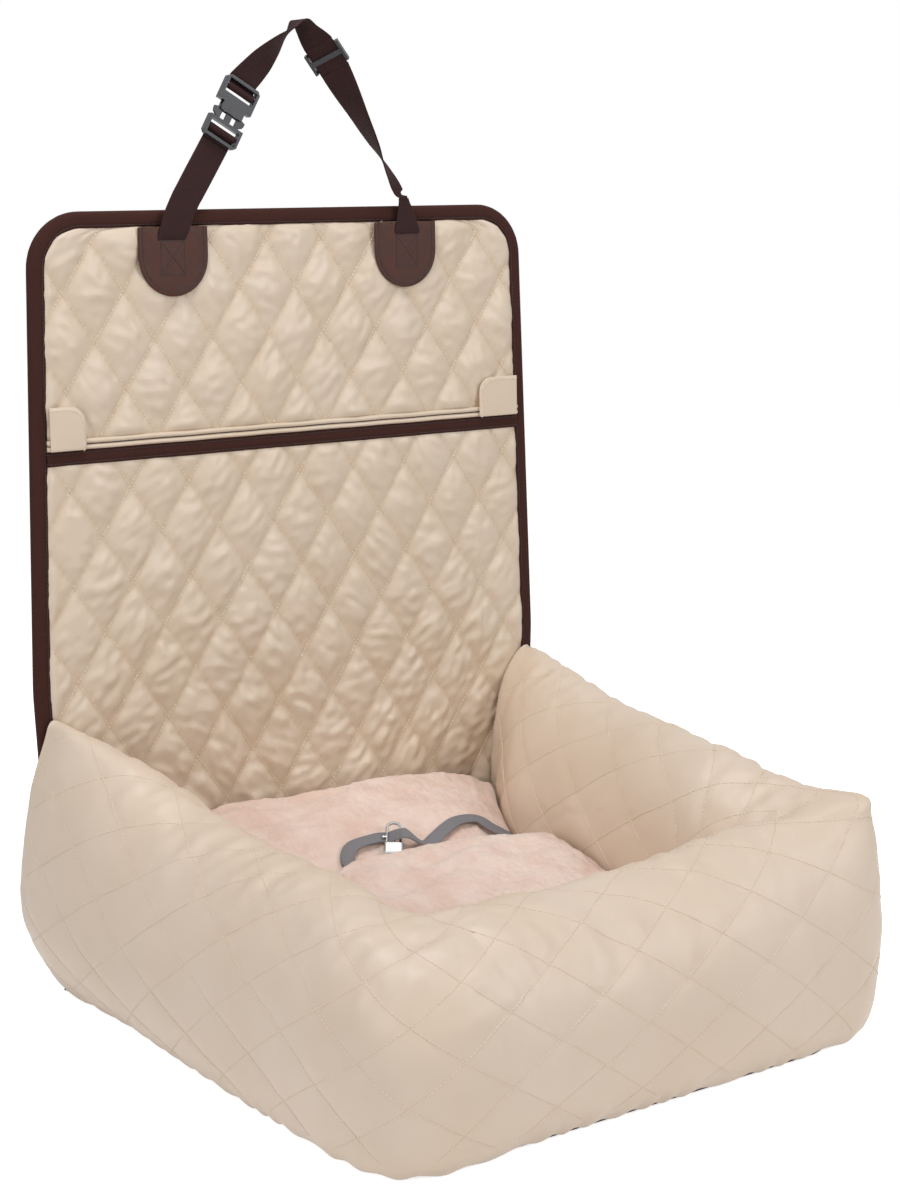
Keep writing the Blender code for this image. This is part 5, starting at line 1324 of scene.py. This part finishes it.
@dataclass
class BackPanel:
    """Leaning back panel: two quilted faces, bound edge, zip pocket and leather patches."""

    finishes: Finishes
    sewing: Sewing
    tape_width: float = 0.0150
    band: tuple = (0.5030, 0.5165)
    slit: float = 0.5216
    patch_width: float = 0.073
    patch_top: float = 0.7157
    patch_bottom: float = 0.6517
    patch_middles: tuple = (-0.132, 0.1295)
    tail_half: float = 0.015
    fold_reach: float = 0.018

    def build(self) -> None:
        """Build every soft part of the panel."""
        self.faces()
        self.binding()
        self.back_cloth()
        self.pocket_edge()
        self.covers()
        for side, middle in zip(Side, self.patch_middles):
            self.patch(side, middle)

    def bend(self, piece: bpy.types.Object) -> None:
        """Bake the transform of a piece that crosses the fold into its mesh."""
        PANEL.place(0, 0.0073, PANEL.fold_height - self.fold_reach)
        PANEL.place(0, 0.0073, PANEL.fold_height + self.fold_reach)
        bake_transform(piece)

    def faces(self) -> None:
        """Build the quilted pocket and the quilted upper face."""
        pocket = QuiltedFace("pocket_face", PANEL.bottom + 0.004, 0.5065, self.finishes, self.sewing)
        piece = pocket.build()
        stitches = pocket.stitches(piece)
        for item in (piece, stitches):
            self.bend(item)
        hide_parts("pocket_quilt", "wall_quilt")
        upper = QuiltedFace("upper_face", 0.5245, PANEL.height - 0.0132, self.finishes, self.sewing)
        piece = upper.build()
        stitches = upper.stitches(piece)
        for item in (piece, stitches):
            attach(item, "flap")
        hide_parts("upper_quilt")

    def binding(self) -> None:
        """Fold the dark tape over the panel's edge, from the left foot over the top to the right."""
        profile = [(0.0150, 0.0049), (0.0150, 0.0034), (0.0100, 0.0031), (0.0055, 0.0033), (0.0025, 0.0041), (0.0007, 0.0058),
                   (0.0, 0.0083), (0.0007, 0.0112), (0.0025, 0.0128), (0.0060, 0.0134), (0.0150, 0.0134), (0.0150, 0.0121),
                   (0.0050, 0.0120), (0.0022, 0.0105), (0.0014, 0.0083), (0.0022, 0.0062), (0.0050, 0.0050)]
        outline = even_points(np.array(PANEL.edge()), 0.004)[7:-7]
        path = PANEL.places(np.column_stack([outline[:, 0], np.zeros(len(outline)), outline[:, 1]]))
        run = np.gradient(path, axis=0)
        run /= np.linalg.norm(run, axis=1, keepdims=True)
        back = np.array([0.0, math.cos(PANEL.lean), -math.sin(PANEL.lean)])
        wave = field_noise(path, 0.03, 1.3) * 0.06
        frames = [(np.cross(back, way) * (1 + sway), back * 1.0) for way, sway in zip(run, wave)]
        if frames[len(frames) // 2][0][2] > 0:
            frames = [(-first, second) for first, second in frames]
        piece = sweep("edge_binding", path, frames, profile, self.finishes.tape)
        self.bend(piece)
        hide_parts("flap_binding", "wall_binding_left", "wall_binding_right")
        self.binding_seam()

    def binding_seam(self) -> None:
        """Sew the binding down along its inner edge."""
        inner = even_points(np.array(PANEL.edge(0.0128)), 0.003)
        row = PANEL.places(np.column_stack([inner[:, 0], np.full(len(inner), 0.0030), inner[:, 1]]))
        piece = self.sewing.rows("binding_stitches", [row], self.finishes.dark_thread, pitch=0.0035)
        self.bend(piece)

    def back_cloth(self) -> None:
        """Stretch the plain cloth over the back."""
        rows, columns = 120, 60
        up = np.repeat(np.linspace(PANEL.bottom, PANEL.height - 0.0085, rows), columns)
        shape = QuiltedFace("", 0, 0, self.finishes, self.sewing, inset=0.0085)
        half = np.array([shape.half(place) for place in up])
        across = np.tile(np.linspace(-1, 1, columns), rows) * half
        flat = np.column_stack([across, np.full(len(up), 0.0109), up])
        drawn = field_noise(flat * np.array([1.0, 1.0, 0.35]), 0.06, 8.0)
        front = PANEL.places(flat)
        flat[:, 1] += 0.0008 + 0.0003 * drawn
        piece = slab("back_cloth", PANEL.places(flat), front, rows, columns, self.finishes.lining)
        self.bend(piece)
        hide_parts("flap_back", "wall_back")

    def strip(self, name: str, middle: float, depth: float, profile: list, finish: bpy.types.Material,
              wander: float) -> bpy.types.Object:
        """Run a strip from edge to edge of the flap at a height."""
        reach = PANEL.half_width(middle) - 0.0148
        across = np.arange(-reach, reach + 0.003, 0.004)
        line = np.column_stack([across, np.full(len(across), depth), np.full(len(across), middle)])
        line[:, 2] += field_noise(line, 0.05, 3.0) * wander
        line[:, 1] -= np.abs(field_noise(line, 0.022, 6.0)) * wander
        path = PANEL.places(line)
        up = np.array([0.0, math.sin(PANEL.lean), math.cos(PANEL.lean)])
        front = np.array([0.0, -math.cos(PANEL.lean), math.sin(PANEL.lean)])
        piece = sweep(name, path, [(up, front)] * len(path), profile, finish)
        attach(piece, "flap")
        return piece

    def pocket_edge(self) -> None:
        """Build the pocket band and the two folded lips of the zip."""
        half = (self.band[1] - self.band[0]) / 2
        band = [(-half, -0.0016), (-half, 0.0010), (-half + 0.0012, 0.0021), (0.0, 0.0026), (half - 0.0012, 0.0021),
                (half, 0.0010), (half, -0.0016)]
        piece = self.strip("pocket_band_tape", sum(self.band) / 2, 0.0038, band, self.finishes.tape, 0.0004)
        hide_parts("pocket_band")
        reach = PANEL.half_width(self.band[0]) - 0.015
        across = np.arange(-reach, reach, 0.003)
        surface = surface_of(piece)
        rows = []
        for height in (self.band[0] + 0.0022, self.band[1] - 0.0022):
            line = PANEL.places(np.column_stack([across, np.zeros(len(across)), np.full(len(across), height)]))
            rows.append(lay_on(surface, line, 0.0001))
        seam = self.sewing.rows("band_stitches", rows, self.finishes.dark_thread, pitch=0.0035)
        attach(seam, "flap")
        lip = [(-0.0024, -0.0030), (-0.0024, 0.0012), (-0.0019, 0.0026), (-0.0006, 0.0034), (0.0008, 0.0033),
               (0.0018, 0.0022), (0.0021, 0.0006), (0.0021, -0.0030)]
        turned = [(-a, b) for a, b in reversed(lip)]
        for name, middle, profile, node in (("zip_lip_cloth_lower", self.slit - 0.0029, turned, "zip_lip_lower"),
                                            ("zip_lip_cloth_upper", self.slit + 0.0029, lip, "zip_lip_upper")):
            piece = self.strip(name, middle, 0.0036, profile, self.finishes.satin, 0.0005)
            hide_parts(node)

    def cut(self, name: str, outline: list, depths: tuple, dome: float, finish: bpy.types.Material) -> bpy.types.Object:
        """Cut a flat piece to an outline and round its edge.

        Args:
            name: The piece's name.
            outline: Pairs of across and height, in order.
            depths: Depth of its front and of its back.
            dome: How far its middle stands out.
            finish: The material.

        Returns:
            A closed piece on the panel.
        """
        edge = even_points(np.vstack([outline, outline[:1]]), 0.0025)[:-1]
        middle = edge.mean(axis=0)
        size = float(np.linalg.norm(edge - middle, axis=1).mean())
        front, back = depths
        steps = [(0.0, back), (0.0, (front + back) / 2), (0.0004, front + 0.0002), (0.0012, front)]
        steps += [(size * share, front - dome * (1 - (1 - share) ** 2)) for share in np.linspace(0.06, 0.96, 14)]
        rings = []
        for inset, depth in steps:
            shrink = 1 - inset / size
            flat = middle + (edge - middle) * shrink
            rings.append(np.column_stack([flat[:, 0], np.full(len(edge), depth), flat[:, 1]]))
        count = len(edge)
        faces = grid_faces(len(rings), count, wrap=True)
        faces += [tuple(range(count))[::-1], tuple(range((len(rings) - 1) * count, len(rings) * count))]
        rows = np.vstack(rings)
        rows[:, 1] += field_noise(rows, 0.03, 5.0) * dome * 0.35 * (rows[:, 1] < back - 1e-6)
        piece = mesh_object(name, PANEL.places(rows), faces)
        weave_map(piece, rows[:, [2, 0]])
        point_outwards(piece)
        piece.data.materials.append(finish)
        return piece

    def covers(self) -> None:
        """Build the two cloth covers over the ends of the zip."""
        low, high, radius = 0.5168, 0.5568, 0.015
        for side, width in ((Side.LEFT, 0.036), (Side.RIGHT, 0.048)):
            outer = PANEL.half_width(high) - 0.0150
            inner = outer - width
            corner = [(inner + radius - radius * math.cos(angle), high - radius + radius * math.sin(angle))
                      for angle in np.radians(np.linspace(0, 90, 8))]
            outline = [(side.value * across, up) for across, up in [(outer, low), (inner, low)] + corner + [(outer, high)]]
            name = "zip_cover_cloth_" + side.name.lower()
            piece = self.cut(name, outline, (-0.0027, -0.0017), 0.0004, self.finishes.satin)
            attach(piece, "flap")
            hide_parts("zip_cover_" + side.name.lower())
            line = even_points(np.array([(side.value * (across + 0.0028), up - 0.0028 * (up > low))
                                         for across, up in [(inner, low)] + corner + [(outer - 0.004, high)]]), 0.002)
            row = lay_on(surface_of(piece), PANEL.places(np.column_stack([line[:, 0], np.full(len(line), -0.0031), line[:, 1]])),
                         0.0001)
            seam = self.sewing.rows(name + "_stitches", [row], self.finishes.cream_thread, pitch=0.0035)
            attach(seam, "flap")
        self.pull()

    def pull(self) -> None:
        """Lay the zip's cloth pull flat along the slit, under the right cover."""
        low, high = self.slit - 0.0033, self.slit + 0.0033
        outline = [(0.2330, low), (0.2520, low), (0.2520, high), (0.2330, high)]
        piece = self.cut("zip_pull_tab", outline, (-0.0014, -0.0005), 0.0, self.finishes.lining)
        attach(piece, "zip_slider")
        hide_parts("zip_pull")

    def patch(self, side: Side, middle: float) -> None:
        """Build one leather patch with its edge seam and its box and cross."""
        half = self.patch_width / 2
        bow = self.patch_bottom + half
        rounded = [(middle + half * math.cos(angle), bow + half * math.sin(angle))
                   for angle in np.radians(np.linspace(180, 360, 24))]
        outline = [(middle + half, self.patch_top), (middle - half, self.patch_top)] + rounded
        name = "leather_patch_" + side.name.lower()
        piece = self.cut(name, outline, (-0.0017, -0.0003), 0.0005, self.finishes.leather)
        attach(piece, "flap")
        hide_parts("patch_" + side.name.lower())
        inner = half - 0.0045
        line = [(middle - inner, self.patch_top - 0.001)]
        line += [(middle + inner * math.cos(angle), bow + inner * math.sin(angle))
                 for angle in np.radians(np.linspace(180, 360, 24))]
        line += [(middle + inner, self.patch_top - 0.001)]
        wide, low, high = self.tail_half - 0.0025, 0.6725, 0.7030
        tail = middle + 0.0012 * side.value
        box = [(tail - wide, low), (tail + wide, low), (tail + wide, high), (tail - wide, high), (tail - wide, low)]
        crosses = [[(tail - wide, low), (tail + wide, high)], [(tail - wide, high), (tail + wide, low)]]
        surface = surface_of(piece)
        rows = []
        for run in [line, box] + crosses:
            flat = even_points(np.array(run), 0.0012)
            rows.append(lay_on(surface, PANEL.places(np.column_stack([flat[:, 0], np.full(len(flat), -0.003), flat[:, 1]])), 0.0001))
        seam = self.sewing.rows(name + "_stitches", rows, self.finishes.dark_thread, pitch=0.0028)
        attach(seam, "flap")


def slab(name: str, front: np.ndarray, back: np.ndarray, rows: int, columns: int,
         finish: bpy.types.Material) -> bpy.types.Object:
    """Close two grids of points into one thin body.

    Args:
        name: The piece's name.
        front: Places of one face, row by row.
        back: Places of the other face.
        rows: Number of rows of points.
        columns: Number of points in each row.
        finish: The material.

    Returns:
        The closed piece.
    """
    count = rows * columns
    faces = grid_faces(rows, columns)
    faces += [tuple(index + count for index in face[::-1]) for face in faces]
    rim = (list(range(columns)) + [row * columns + columns - 1 for row in range(1, rows)]
           + [(rows - 1) * columns + column for column in range(columns - 2, -1, -1)]
           + [row * columns for row in range(rows - 2, 0, -1)])
    for index, first in enumerate(rim):
        second = rim[(index + 1) % len(rim)]
        faces.append((second, first, first + count, second + count))
    piece = mesh_object(name, np.vstack([front, back]), faces)
    point_outwards(piece)
    piece.data.materials.append(finish)
    return piece


@dataclass
class FloorCover:
    """Lining cloth under the bed, seen as a thin brown edge below the front bolster."""

    finishes: Finishes
    half_width: float = 0.2505
    front: float = -0.2515
    back: float = 0.270
    thickness: float = 0.0058
    corner: float = 0.050

    def build(self) -> None:
        """Build the cloth with a slightly wavy edge."""
        rows, columns = 70, 70
        y = np.repeat(np.linspace(self.front, self.back, rows), columns)
        turn = np.clip(self.corner - (y - self.front), 0, self.corner)
        x = np.tile(np.linspace(-1, 1, columns), rows) * (
            self.half_width - self.corner + np.sqrt(self.corner ** 2 - turn ** 2))
        low = np.column_stack([x, y, np.zeros(len(x))])
        high = low.copy()
        high[:, 2] = self.thickness - 0.0004 * (1 + field_noise(low, 0.02, 2.0))
        piece = slab("floor_lining", high, low, rows, columns, self.finishes.lining)
        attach(piece, "root")
        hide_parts("floor_cover")


# Headrest strap


@dataclass
class HeadrestStrap:
    """Webbing loop over the panel, with its sewn tails, buckle and ladder adjuster."""

    finishes: Finishes
    sewing: Sewing
    width: float = 0.030
    thickness: float = 0.0013
    depth: float = -0.0028
    swing_height: float = 0.7365
    buckle: tuple = (-0.0675, 0.8193)
    buckle_turn: float = math.radians(30.0)
    buckle_half: float = 0.031
    bar: float = 0.0032
    slot: float = 0.0052
    apex: tuple = (0.0105, 0.904)
    adjuster: tuple = (0.0405, 0.8715)
    adjuster_slope: float = math.radians(-52.0)
    adjuster_twist: float = math.radians(48.0)
    right_foot: float = 0.1262

    def buckle_point(self, across: float, depth: float, up: float) -> tuple:
        """Place on the panel of a point given along the buckle."""
        cos, sin = math.cos(self.buckle_turn), math.sin(self.buckle_turn)
        return (self.buckle[0] + across * cos + up * sin, self.depth + depth, self.buckle[1] - across * sin + up * cos)

    def twisted(self, slope: float, twist: float) -> tuple:
        """Direction across the webbing where it runs at a slope and is turned about its run."""
        return (math.sin(slope) * math.cos(twist), math.sin(twist), -math.cos(slope) * math.cos(twist))

    def wrap(self, sign: int) -> list:
        """Stations behind the outer bar, through the slot and round the inner bar of one half."""
        slot = self.buckle_half - self.bar - self.slot / 2
        middle = slot - self.slot / 2 - 0.0013
        reach = 0.00177 + 0.0003 + self.thickness / 2
        behind = 0.00175 + 0.0003 + self.thickness / 2
        across = (math.cos(self.buckle_turn), 0, -math.sin(self.buckle_turn))
        path = [(self.buckle_half + 0.001, behind), (slot + self.slot / 2 - 0.0003, behind), (slot, behind * 0.2)]
        for turn in np.radians(np.linspace(-50, 180, 9)):
            path.append((middle - reach * math.sin(turn), -reach * math.cos(turn)))
        return [(*self.buckle_point(0, depth, sign * up), *across, self.width) for up, depth in path]

    def ribbon(self, name: str, stations: list, steps: int = 4) -> bpy.types.Object:
        """Lay webbing through stations of place, direction across and width.

        Args:
            name: The piece's name.
            stations: Rows of across, depth and height, the direction across, and the width.
            steps: Points from one station to the next.

        Returns:
            The closed webbing.
        """
        rows = np.array(stations, float)
        knots = np.vstack([2 * rows[0] - rows[1], rows, 2 * rows[-1] - rows[-2]])
        fine = []
        for index in range(1, len(knots) - 2):
            a, b, c, d = knots[index - 1:index + 3]
            gap = np.linalg.norm(c[:3] - b[:3])
            count = max(steps, int(gap / 0.002))
            share = np.linspace(0, 1, count, endpoint=False)[:, None]
            smooth = 0.5 * (2 * b + (c - a) * share + (2 * a - 5 * b + 4 * c - d) * share ** 2
                            + (3 * b - 3 * c + d - a) * share ** 3)
            straight = b + (c - b) * share
            even = min(1.0, np.linalg.norm(b[:3] - a[:3]) / gap, np.linalg.norm(d[:3] - c[:3]) / gap)
            fine.append(straight + (smooth - straight) * even)
        fine = np.vstack(fine + [rows[-1:]])
        run = np.gradient(fine[:, :3], axis=0)
        run /= np.linalg.norm(run, axis=1, keepdims=True)
        across = fine[:, 3:6] / np.linalg.norm(fine[:, 3:6], axis=1, keepdims=True)
        normal = np.cross(across, run)
        normal /= np.linalg.norm(normal, axis=1, keepdims=True)
        path = PANEL.places(fine[:, :3])
        origin = np.array(PANEL.place(0, 0, 0))
        frames = []
        for side, out, width in zip(across, normal, fine[:, 6]):
            turned = PANEL.places(np.array([side, out])) - origin
            frames.append((turned[0] * width / self.width, turned[1]))
        half, thin = self.width / 2, self.thickness / 2
        columns = [-1.0, -0.97, -0.86, -0.6, -0.3, 0.0, 0.3, 0.6, 0.86, 0.97, 1.0]
        rise = [0.45, 0.85, 1.1, 1.0, 0.95, 0.9, 0.95, 1.0, 1.1, 0.85, 0.45]
        profile = [(half * place, -thin * up) for place, up in zip(columns, rise)]
        profile += [(half * place, thin * up) for place, up in zip(reversed(columns), reversed(rise))]
        piece = sweep(name, path, frames, profile, self.finishes.strap)
        return piece

    def build(self) -> None:
        """Build the left leg with its tail, the right leg and the right tail."""
        level = (1.0, 0.0, 0.0)
        across = (math.cos(self.buckle_turn), 0, -math.sin(self.buckle_turn))
        lower = np.array(self.buckle_point(0, 0.0027, -self.buckle_half - self.bar))
        foot = np.array([-0.121, self.depth, self.swing_height])
        left = [(-0.1340, -0.0006, 0.7010, *level, self.width), (-0.1337, -0.0024, 0.7065, *level, self.width),
                (-0.1318, self.depth, 0.7120, 0.985, 0, -0.17, self.width),
                (-0.1262, self.depth, 0.7260, 0.94, 0, -0.34, self.width),
                (*(foot + (lower - foot) * 0.06), 0.93, 0, -0.37, self.width),
                (*(foot + (lower - foot) * 0.20), 0.91, 0, -0.42, self.width),
                (*(foot + (lower - foot) * 0.45), *across, self.width), (*lower, *across, self.width)]
        piece = self.ribbon("strap_webbing_left", left + self.wrap(-1))
        PANEL.place(0, self.depth, 0.729)
        PANEL.place(0, self.depth, 0.744)
        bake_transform(piece)
        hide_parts("strap_left", "strap_tail_left")
        piece = self.ribbon("strap_webbing_right", self.right_leg())
        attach(piece, "strap_right")
        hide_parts("strap_right")
        tail = [(0.1310, -0.0006, 0.7010, *level, self.width), (0.1310, -0.0024, 0.7065, *level, self.width * 0.98),
                (0.1306, self.depth, 0.7120, *level, self.width * 0.88), (0.1298, self.depth, 0.7200, *level, self.width * 0.72),
                (0.1287, self.depth, 0.7290, *level, self.width * 0.55), (0.1277, self.depth, 0.7345, *level, self.width * 0.43),
                (0.1270, self.depth, 0.7385, *level, self.width * 0.38)]
        piece = self.ribbon("strap_webbing_tail", tail)
        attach(piece, "flap")
        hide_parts("strap_tail_right")

    def right_leg(self) -> list:
        """Stations from the buckle's upper half over the apex to the right foot."""
        start = np.array(self.buckle_point(0, 0.0027, self.buckle_half + self.bar))
        apex = np.array([self.apex[0], self.depth, self.apex[1]])
        rows = list(reversed(self.wrap(1))) + [(*start, *self.twisted(math.radians(60.0), 0.0), self.width)]
        for share, twist in ((0.3, 18), (0.6, 45), (0.85, 74)):
            rows.append((*(start + (apex - start) * share), *self.twisted(math.radians(52.0), math.radians(twist)), self.width))
        middle = np.array([self.adjuster[0], self.depth, self.adjuster[1]])
        run = np.array([math.cos(self.adjuster_slope), 0, math.sin(self.adjuster_slope)])
        high, low = middle - run * 0.0165, middle + run * 0.0165
        crest = apex + np.array([0, 0, self.thickness])
        rows.append((*crest, 0, 1, 0, self.width))
        rows.append((*(crest + (high - crest) * 0.45), *self.twisted(math.radians(-35.0), math.radians(76.0)), self.width))
        side = self.twisted(self.adjuster_slope, self.adjuster_twist)
        for share in (0.0, 0.07, 0.93, 1.0):
            rows.append((*(high + (low - high) * share), *side, self.width))
        foot = np.array([self.right_foot, self.depth, self.swing_height])
        falling = ((0.3, 82, 0.98), (0.58, 106, 0.95), (0.8, 140, 0.62), (0.93, 172, 0.4))
        for share, twist, wide in falling:
            rows.append((*(low + (foot - low) * share), *self.twisted(math.radians(-58.0), math.radians(twist)), self.width * wide))
        rows.append((*(foot + np.array([0, 0, 0.0042])), -1, 0, 0, 0.0095))
        rows.append((*foot, -1, 0, 0, 0.0105))
        return rows


# Tether


@dataclass
class Tether:
    """Flat grey strap with a bolt snap, lying over the pad."""

    finishes: Finishes
    width: float = 0.014
    thickness: float = 0.0016
    place: tuple = (-0.0033, 0.1067, 0.1215)
    azimuth: float = math.radians(36.0)
    tilt: float = math.radians(34.0)
    before: tuple = (
        (0.1500, 0.1205, 0.1190), (0.1430, 0.1225, 0.1220), (0.1315, 0.1305, 0.1290), (0.1205, 0.1415, 0.1370),
        (0.0980, 0.1415, 0.1390), (0.0780, 0.1345, 0.1360), (0.0600, 0.1275, 0.1310), (0.0460, 0.1230, 0.1285))
    through: tuple = (
        (0.0135, 0.0030, 0.0350), (0.0068, 0.0031, 0.0350), (0.0035, 0.0018, 0.0350), (0.0, 0.0, 0.0350),
        (-0.0035, -0.0018, 0.0350), (-0.0068, -0.0031, 0.0350), (-0.0135, -0.0028, 0.0350))
    after: tuple = (
        (-0.0080, 0.1380, 0.1392), (-0.0180, 0.1375, 0.1388), (-0.0290, 0.1355, 0.1376), (-0.0380, 0.1305, 0.1340),
        (-0.0440, 0.1225, 0.1282), (-0.0430, 0.1115, 0.1218), (-0.0360, 0.1035, 0.1202), (-0.0260, 0.1005, 0.1198))

    def hook_frame(self) -> tuple:
        """Directions along, across and up from the hook."""
        level = np.array([math.sin(self.azimuth), math.cos(self.azimuth), 0.0])
        axis = level * math.cos(self.tilt) + np.array([0, 0, math.sin(self.tilt)])
        side = np.array([math.cos(self.azimuth), -math.sin(self.azimuth), 0.0])
        return axis, side, np.cross(side, axis)

    def route(self) -> np.ndarray:
        """Chosen places of the strap, from the pad's right edge through the hook to its eye."""
        axis, side, up = self.hook_frame()
        place = np.array(self.place)
        points = [np.array(row) for row in self.before]
        points += [place + side * a + up * b + axis * c for a, b, c in self.through]
        points += [np.array(row) for row in self.after]
        end = place - axis * (0.0011 + 0.0003 + self.thickness / 2)
        level = np.array([axis[0], axis[1], 0.0])
        level /= np.linalg.norm(level)
        return np.array(points + [end - level * self.width / 2, end])

    def build(self) -> None:
        axis, side, up = self.hook_frame()
        path = smooth_path(self.route(), 0.003)
        run = np.gradient(path, axis=0)
        run /= np.linalg.norm(run, axis=1, keepdims=True)
        gate = np.array(self.place) + axis * 0.0375
        frames = []
        for index, (point, way) in enumerate(zip(path, run)):
            slope = -0.25 if point[1] < 0.118 else 0.3
            normal = np.array([0.0, -slope, 1.0])
            nearness = min(1.0, float(np.linalg.norm(point - gate)) / (2 * self.width))
            normal = up * (1 - nearness) + normal * nearness / np.linalg.norm(normal)
            if index == len(path) - 1:
                normal = up
            across = np.cross(way, normal)
            across /= np.linalg.norm(across)
            frames.append((across, np.cross(across, way)))
        half, thin = self.width / 2, self.thickness / 2
        profile = [(-half, -thin * 0.5), (-half * 0.93, -thin), (0, -thin * 0.92), (half * 0.93, -thin), (half, -thin * 0.5),
                   (half, thin * 0.5), (half * 0.93, thin), (0, thin * 0.92), (-half * 0.93, thin), (-half, thin * 0.5)]
        piece = sweep("tether_webbing", path, frames, profile, self.finishes.tether)
        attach(piece, "root")
        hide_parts("tether_strap")


# Stage


@dataclass(frozen=True)
class Stage:
    """Camera at the photograph's view, a plain pale floor and soft studio light."""

    place: tuple = (-1.2065, -1.6301, 0.7857)
    azimuth: float = math.radians(36.17)
    pitch: float = math.radians(10.97)
    lens: float = 69.8

    def camera(self) -> None:
        """Set up the camera."""
        data = bpy.data.cameras.new("photo_view")
        data.lens = self.lens
        data.sensor_width = 36.0
        camera = bpy.data.objects.new("photo_view", data)
        camera.location = self.place
        camera.rotation_euler = (math.pi / 2 - self.pitch, 0.0, -self.azimuth)
        bpy.context.scene.collection.objects.link(camera)
        bpy.context.scene.camera = camera

    def seen(self, tree: bpy.types.NodeTree) -> bpy.types.NodeSocket:
        """Tell the camera's rays, and those that mirror or pass through things, from the light's.

        Args:
            tree: The node tree that the nodes are added to.

        Returns:
            A socket that is 1 for those rays and 0 for all others.
        """
        paths = add_node(tree, "ShaderNodeLightPath")
        mirrored = add_node(tree, "ShaderNodeMath", {"operation": "MAXIMUM"},
                            {0: paths.outputs["Is Camera Ray"], 1: paths.outputs["Is Glossy Ray"]})
        whole = add_node(tree, "ShaderNodeMath", {"operation": "MAXIMUM"},
                         {0: mirrored.outputs[0], 1: paths.outputs["Is Transmission Ray"]})
        return whole.outputs[0]

    def floor(self) -> None:
        """Lay the floor: pale, with the backdrop's white added for the camera and for reflections."""
        size = 40.0
        piece = mesh_object("studio_floor", np.array([(-size, -size, -0.0004), (size, -size, -0.0004), (size, size, -0.0004),
                                                      (-size, size, -0.0004)]), [(0, 1, 2, 3)], smooth=False)
        material = bpy.data.materials.new("studio_paper")
        material.use_nodes = True
        tree = material.node_tree
        shader = tree.nodes["Principled BSDF"]
        shader.inputs["Base Color"].default_value = linear("f4f4f4")
        shader.inputs["Roughness"].default_value = 1.0
        shader.inputs["Specular IOR Level"].default_value = 0.0
        strength = add_node(tree, "ShaderNodeMath", {"operation": "MULTIPLY"}, {0: self.seen(tree), 1: 0.80})
        glow = add_node(tree, "ShaderNodeEmission", {}, {"Color": linear("ffffff"), "Strength": strength.outputs[0]})
        both = add_node(tree, "ShaderNodeAddShader", {}, {0: shader.outputs[0], 1: glow.outputs[0]})
        tree.links.new(both.outputs[0], tree.nodes["Material Output"].inputs["Surface"])
        piece.data.materials.append(material)

    def world(self) -> None:
        """Light the room evenly and show it white to the camera."""
        world = bpy.data.worlds.new("studio")
        world.use_nodes = True
        bpy.context.scene.world = world
        tree = world.node_tree
        strength = add_node(tree, "ShaderNodeMapRange", {}, {"Value": self.seen(tree), "To Min": 0.22, "To Max": 1.0})
        ground = tree.nodes["Background"]
        ground.inputs["Color"].default_value = linear("ffffff")
        tree.links.new(strength.outputs[0], ground.inputs["Strength"])

    def lamp(self, name: str, place: tuple, size: float, power: float) -> None:
        """Hang one large soft lamp that looks at the seat."""
        data = bpy.data.lights.new(name, "AREA")
        data.shape = "SQUARE"
        data.size = size
        data.energy = power
        lamp = bpy.data.objects.new(name, data)
        lamp.location = place
        lamp.rotation_euler = (Vector(place) - Vector((0.0, 0.0, 0.3))).to_track_quat("Z", "Y").to_euler()
        bpy.context.scene.collection.objects.link(lamp)

    def build(self) -> None:
        """Build the whole stage."""
        scene = bpy.context.scene
        scene.view_settings.view_transform = "Standard"
        self.floor()
        self.world()
        self.lamp("key_lamp", (1.2, -2.4, 1.5), 1.2, 27.0)
        self.lamp("fill_lamp", (-2.6, -1.0, 1.1), 1.0, 21.0)
        self.lamp("top_lamp", (-0.3, -0.2, 2.5), 1.0, 27.0)


def dress_frame(finishes: Finishes) -> None:
    """Give the frame's own plastic, sheet and metal parts their finishes."""
    table = {
        finishes.sheet: ("floor_board", "wall_board", "flap_board"),
        finishes.lining: ("zip_tape",),
        finishes.acetal: ("zip_coil", "buckle_lower", "buckle_upper", "buckle_prong_left",
                           "buckle_prong_right", "strap_adjuster"),
        finishes.chrome: ("zip_slider", "hook_eye", "hook_body", "hook_bolt")}
    for finish, nodes in table.items():
        for name in nodes:
            for slot in frame["nodes"][name].material_slots:
                slot.material = finish


def main() -> None:
    """Build the whole seat round its frame and report each piece."""
    logging.basicConfig(level=logging.INFO, format="%(message)s")
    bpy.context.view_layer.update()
    stage = Stage()
    stage.camera()
    finishes = Finishes()
    sewing = Sewing()
    Tether(finishes).build()
    FloorCover(finishes).build()
    BolsterCover(finishes, sewing).build()
    SeatPad(finishes).build()
    BackPanel(finishes, sewing).build()
    HeadrestStrap(finishes, sewing).build()
    dress_frame(finishes)
    stage.build()
    for piece in bpy.context.scene.objects:
        if piece.type == "MESH" and piece.name not in frame["nodes"]:
            LOG.info("%s: %d faces", piece.name, len(piece.data.polygons))


if __name__ == "__main__":
    main()
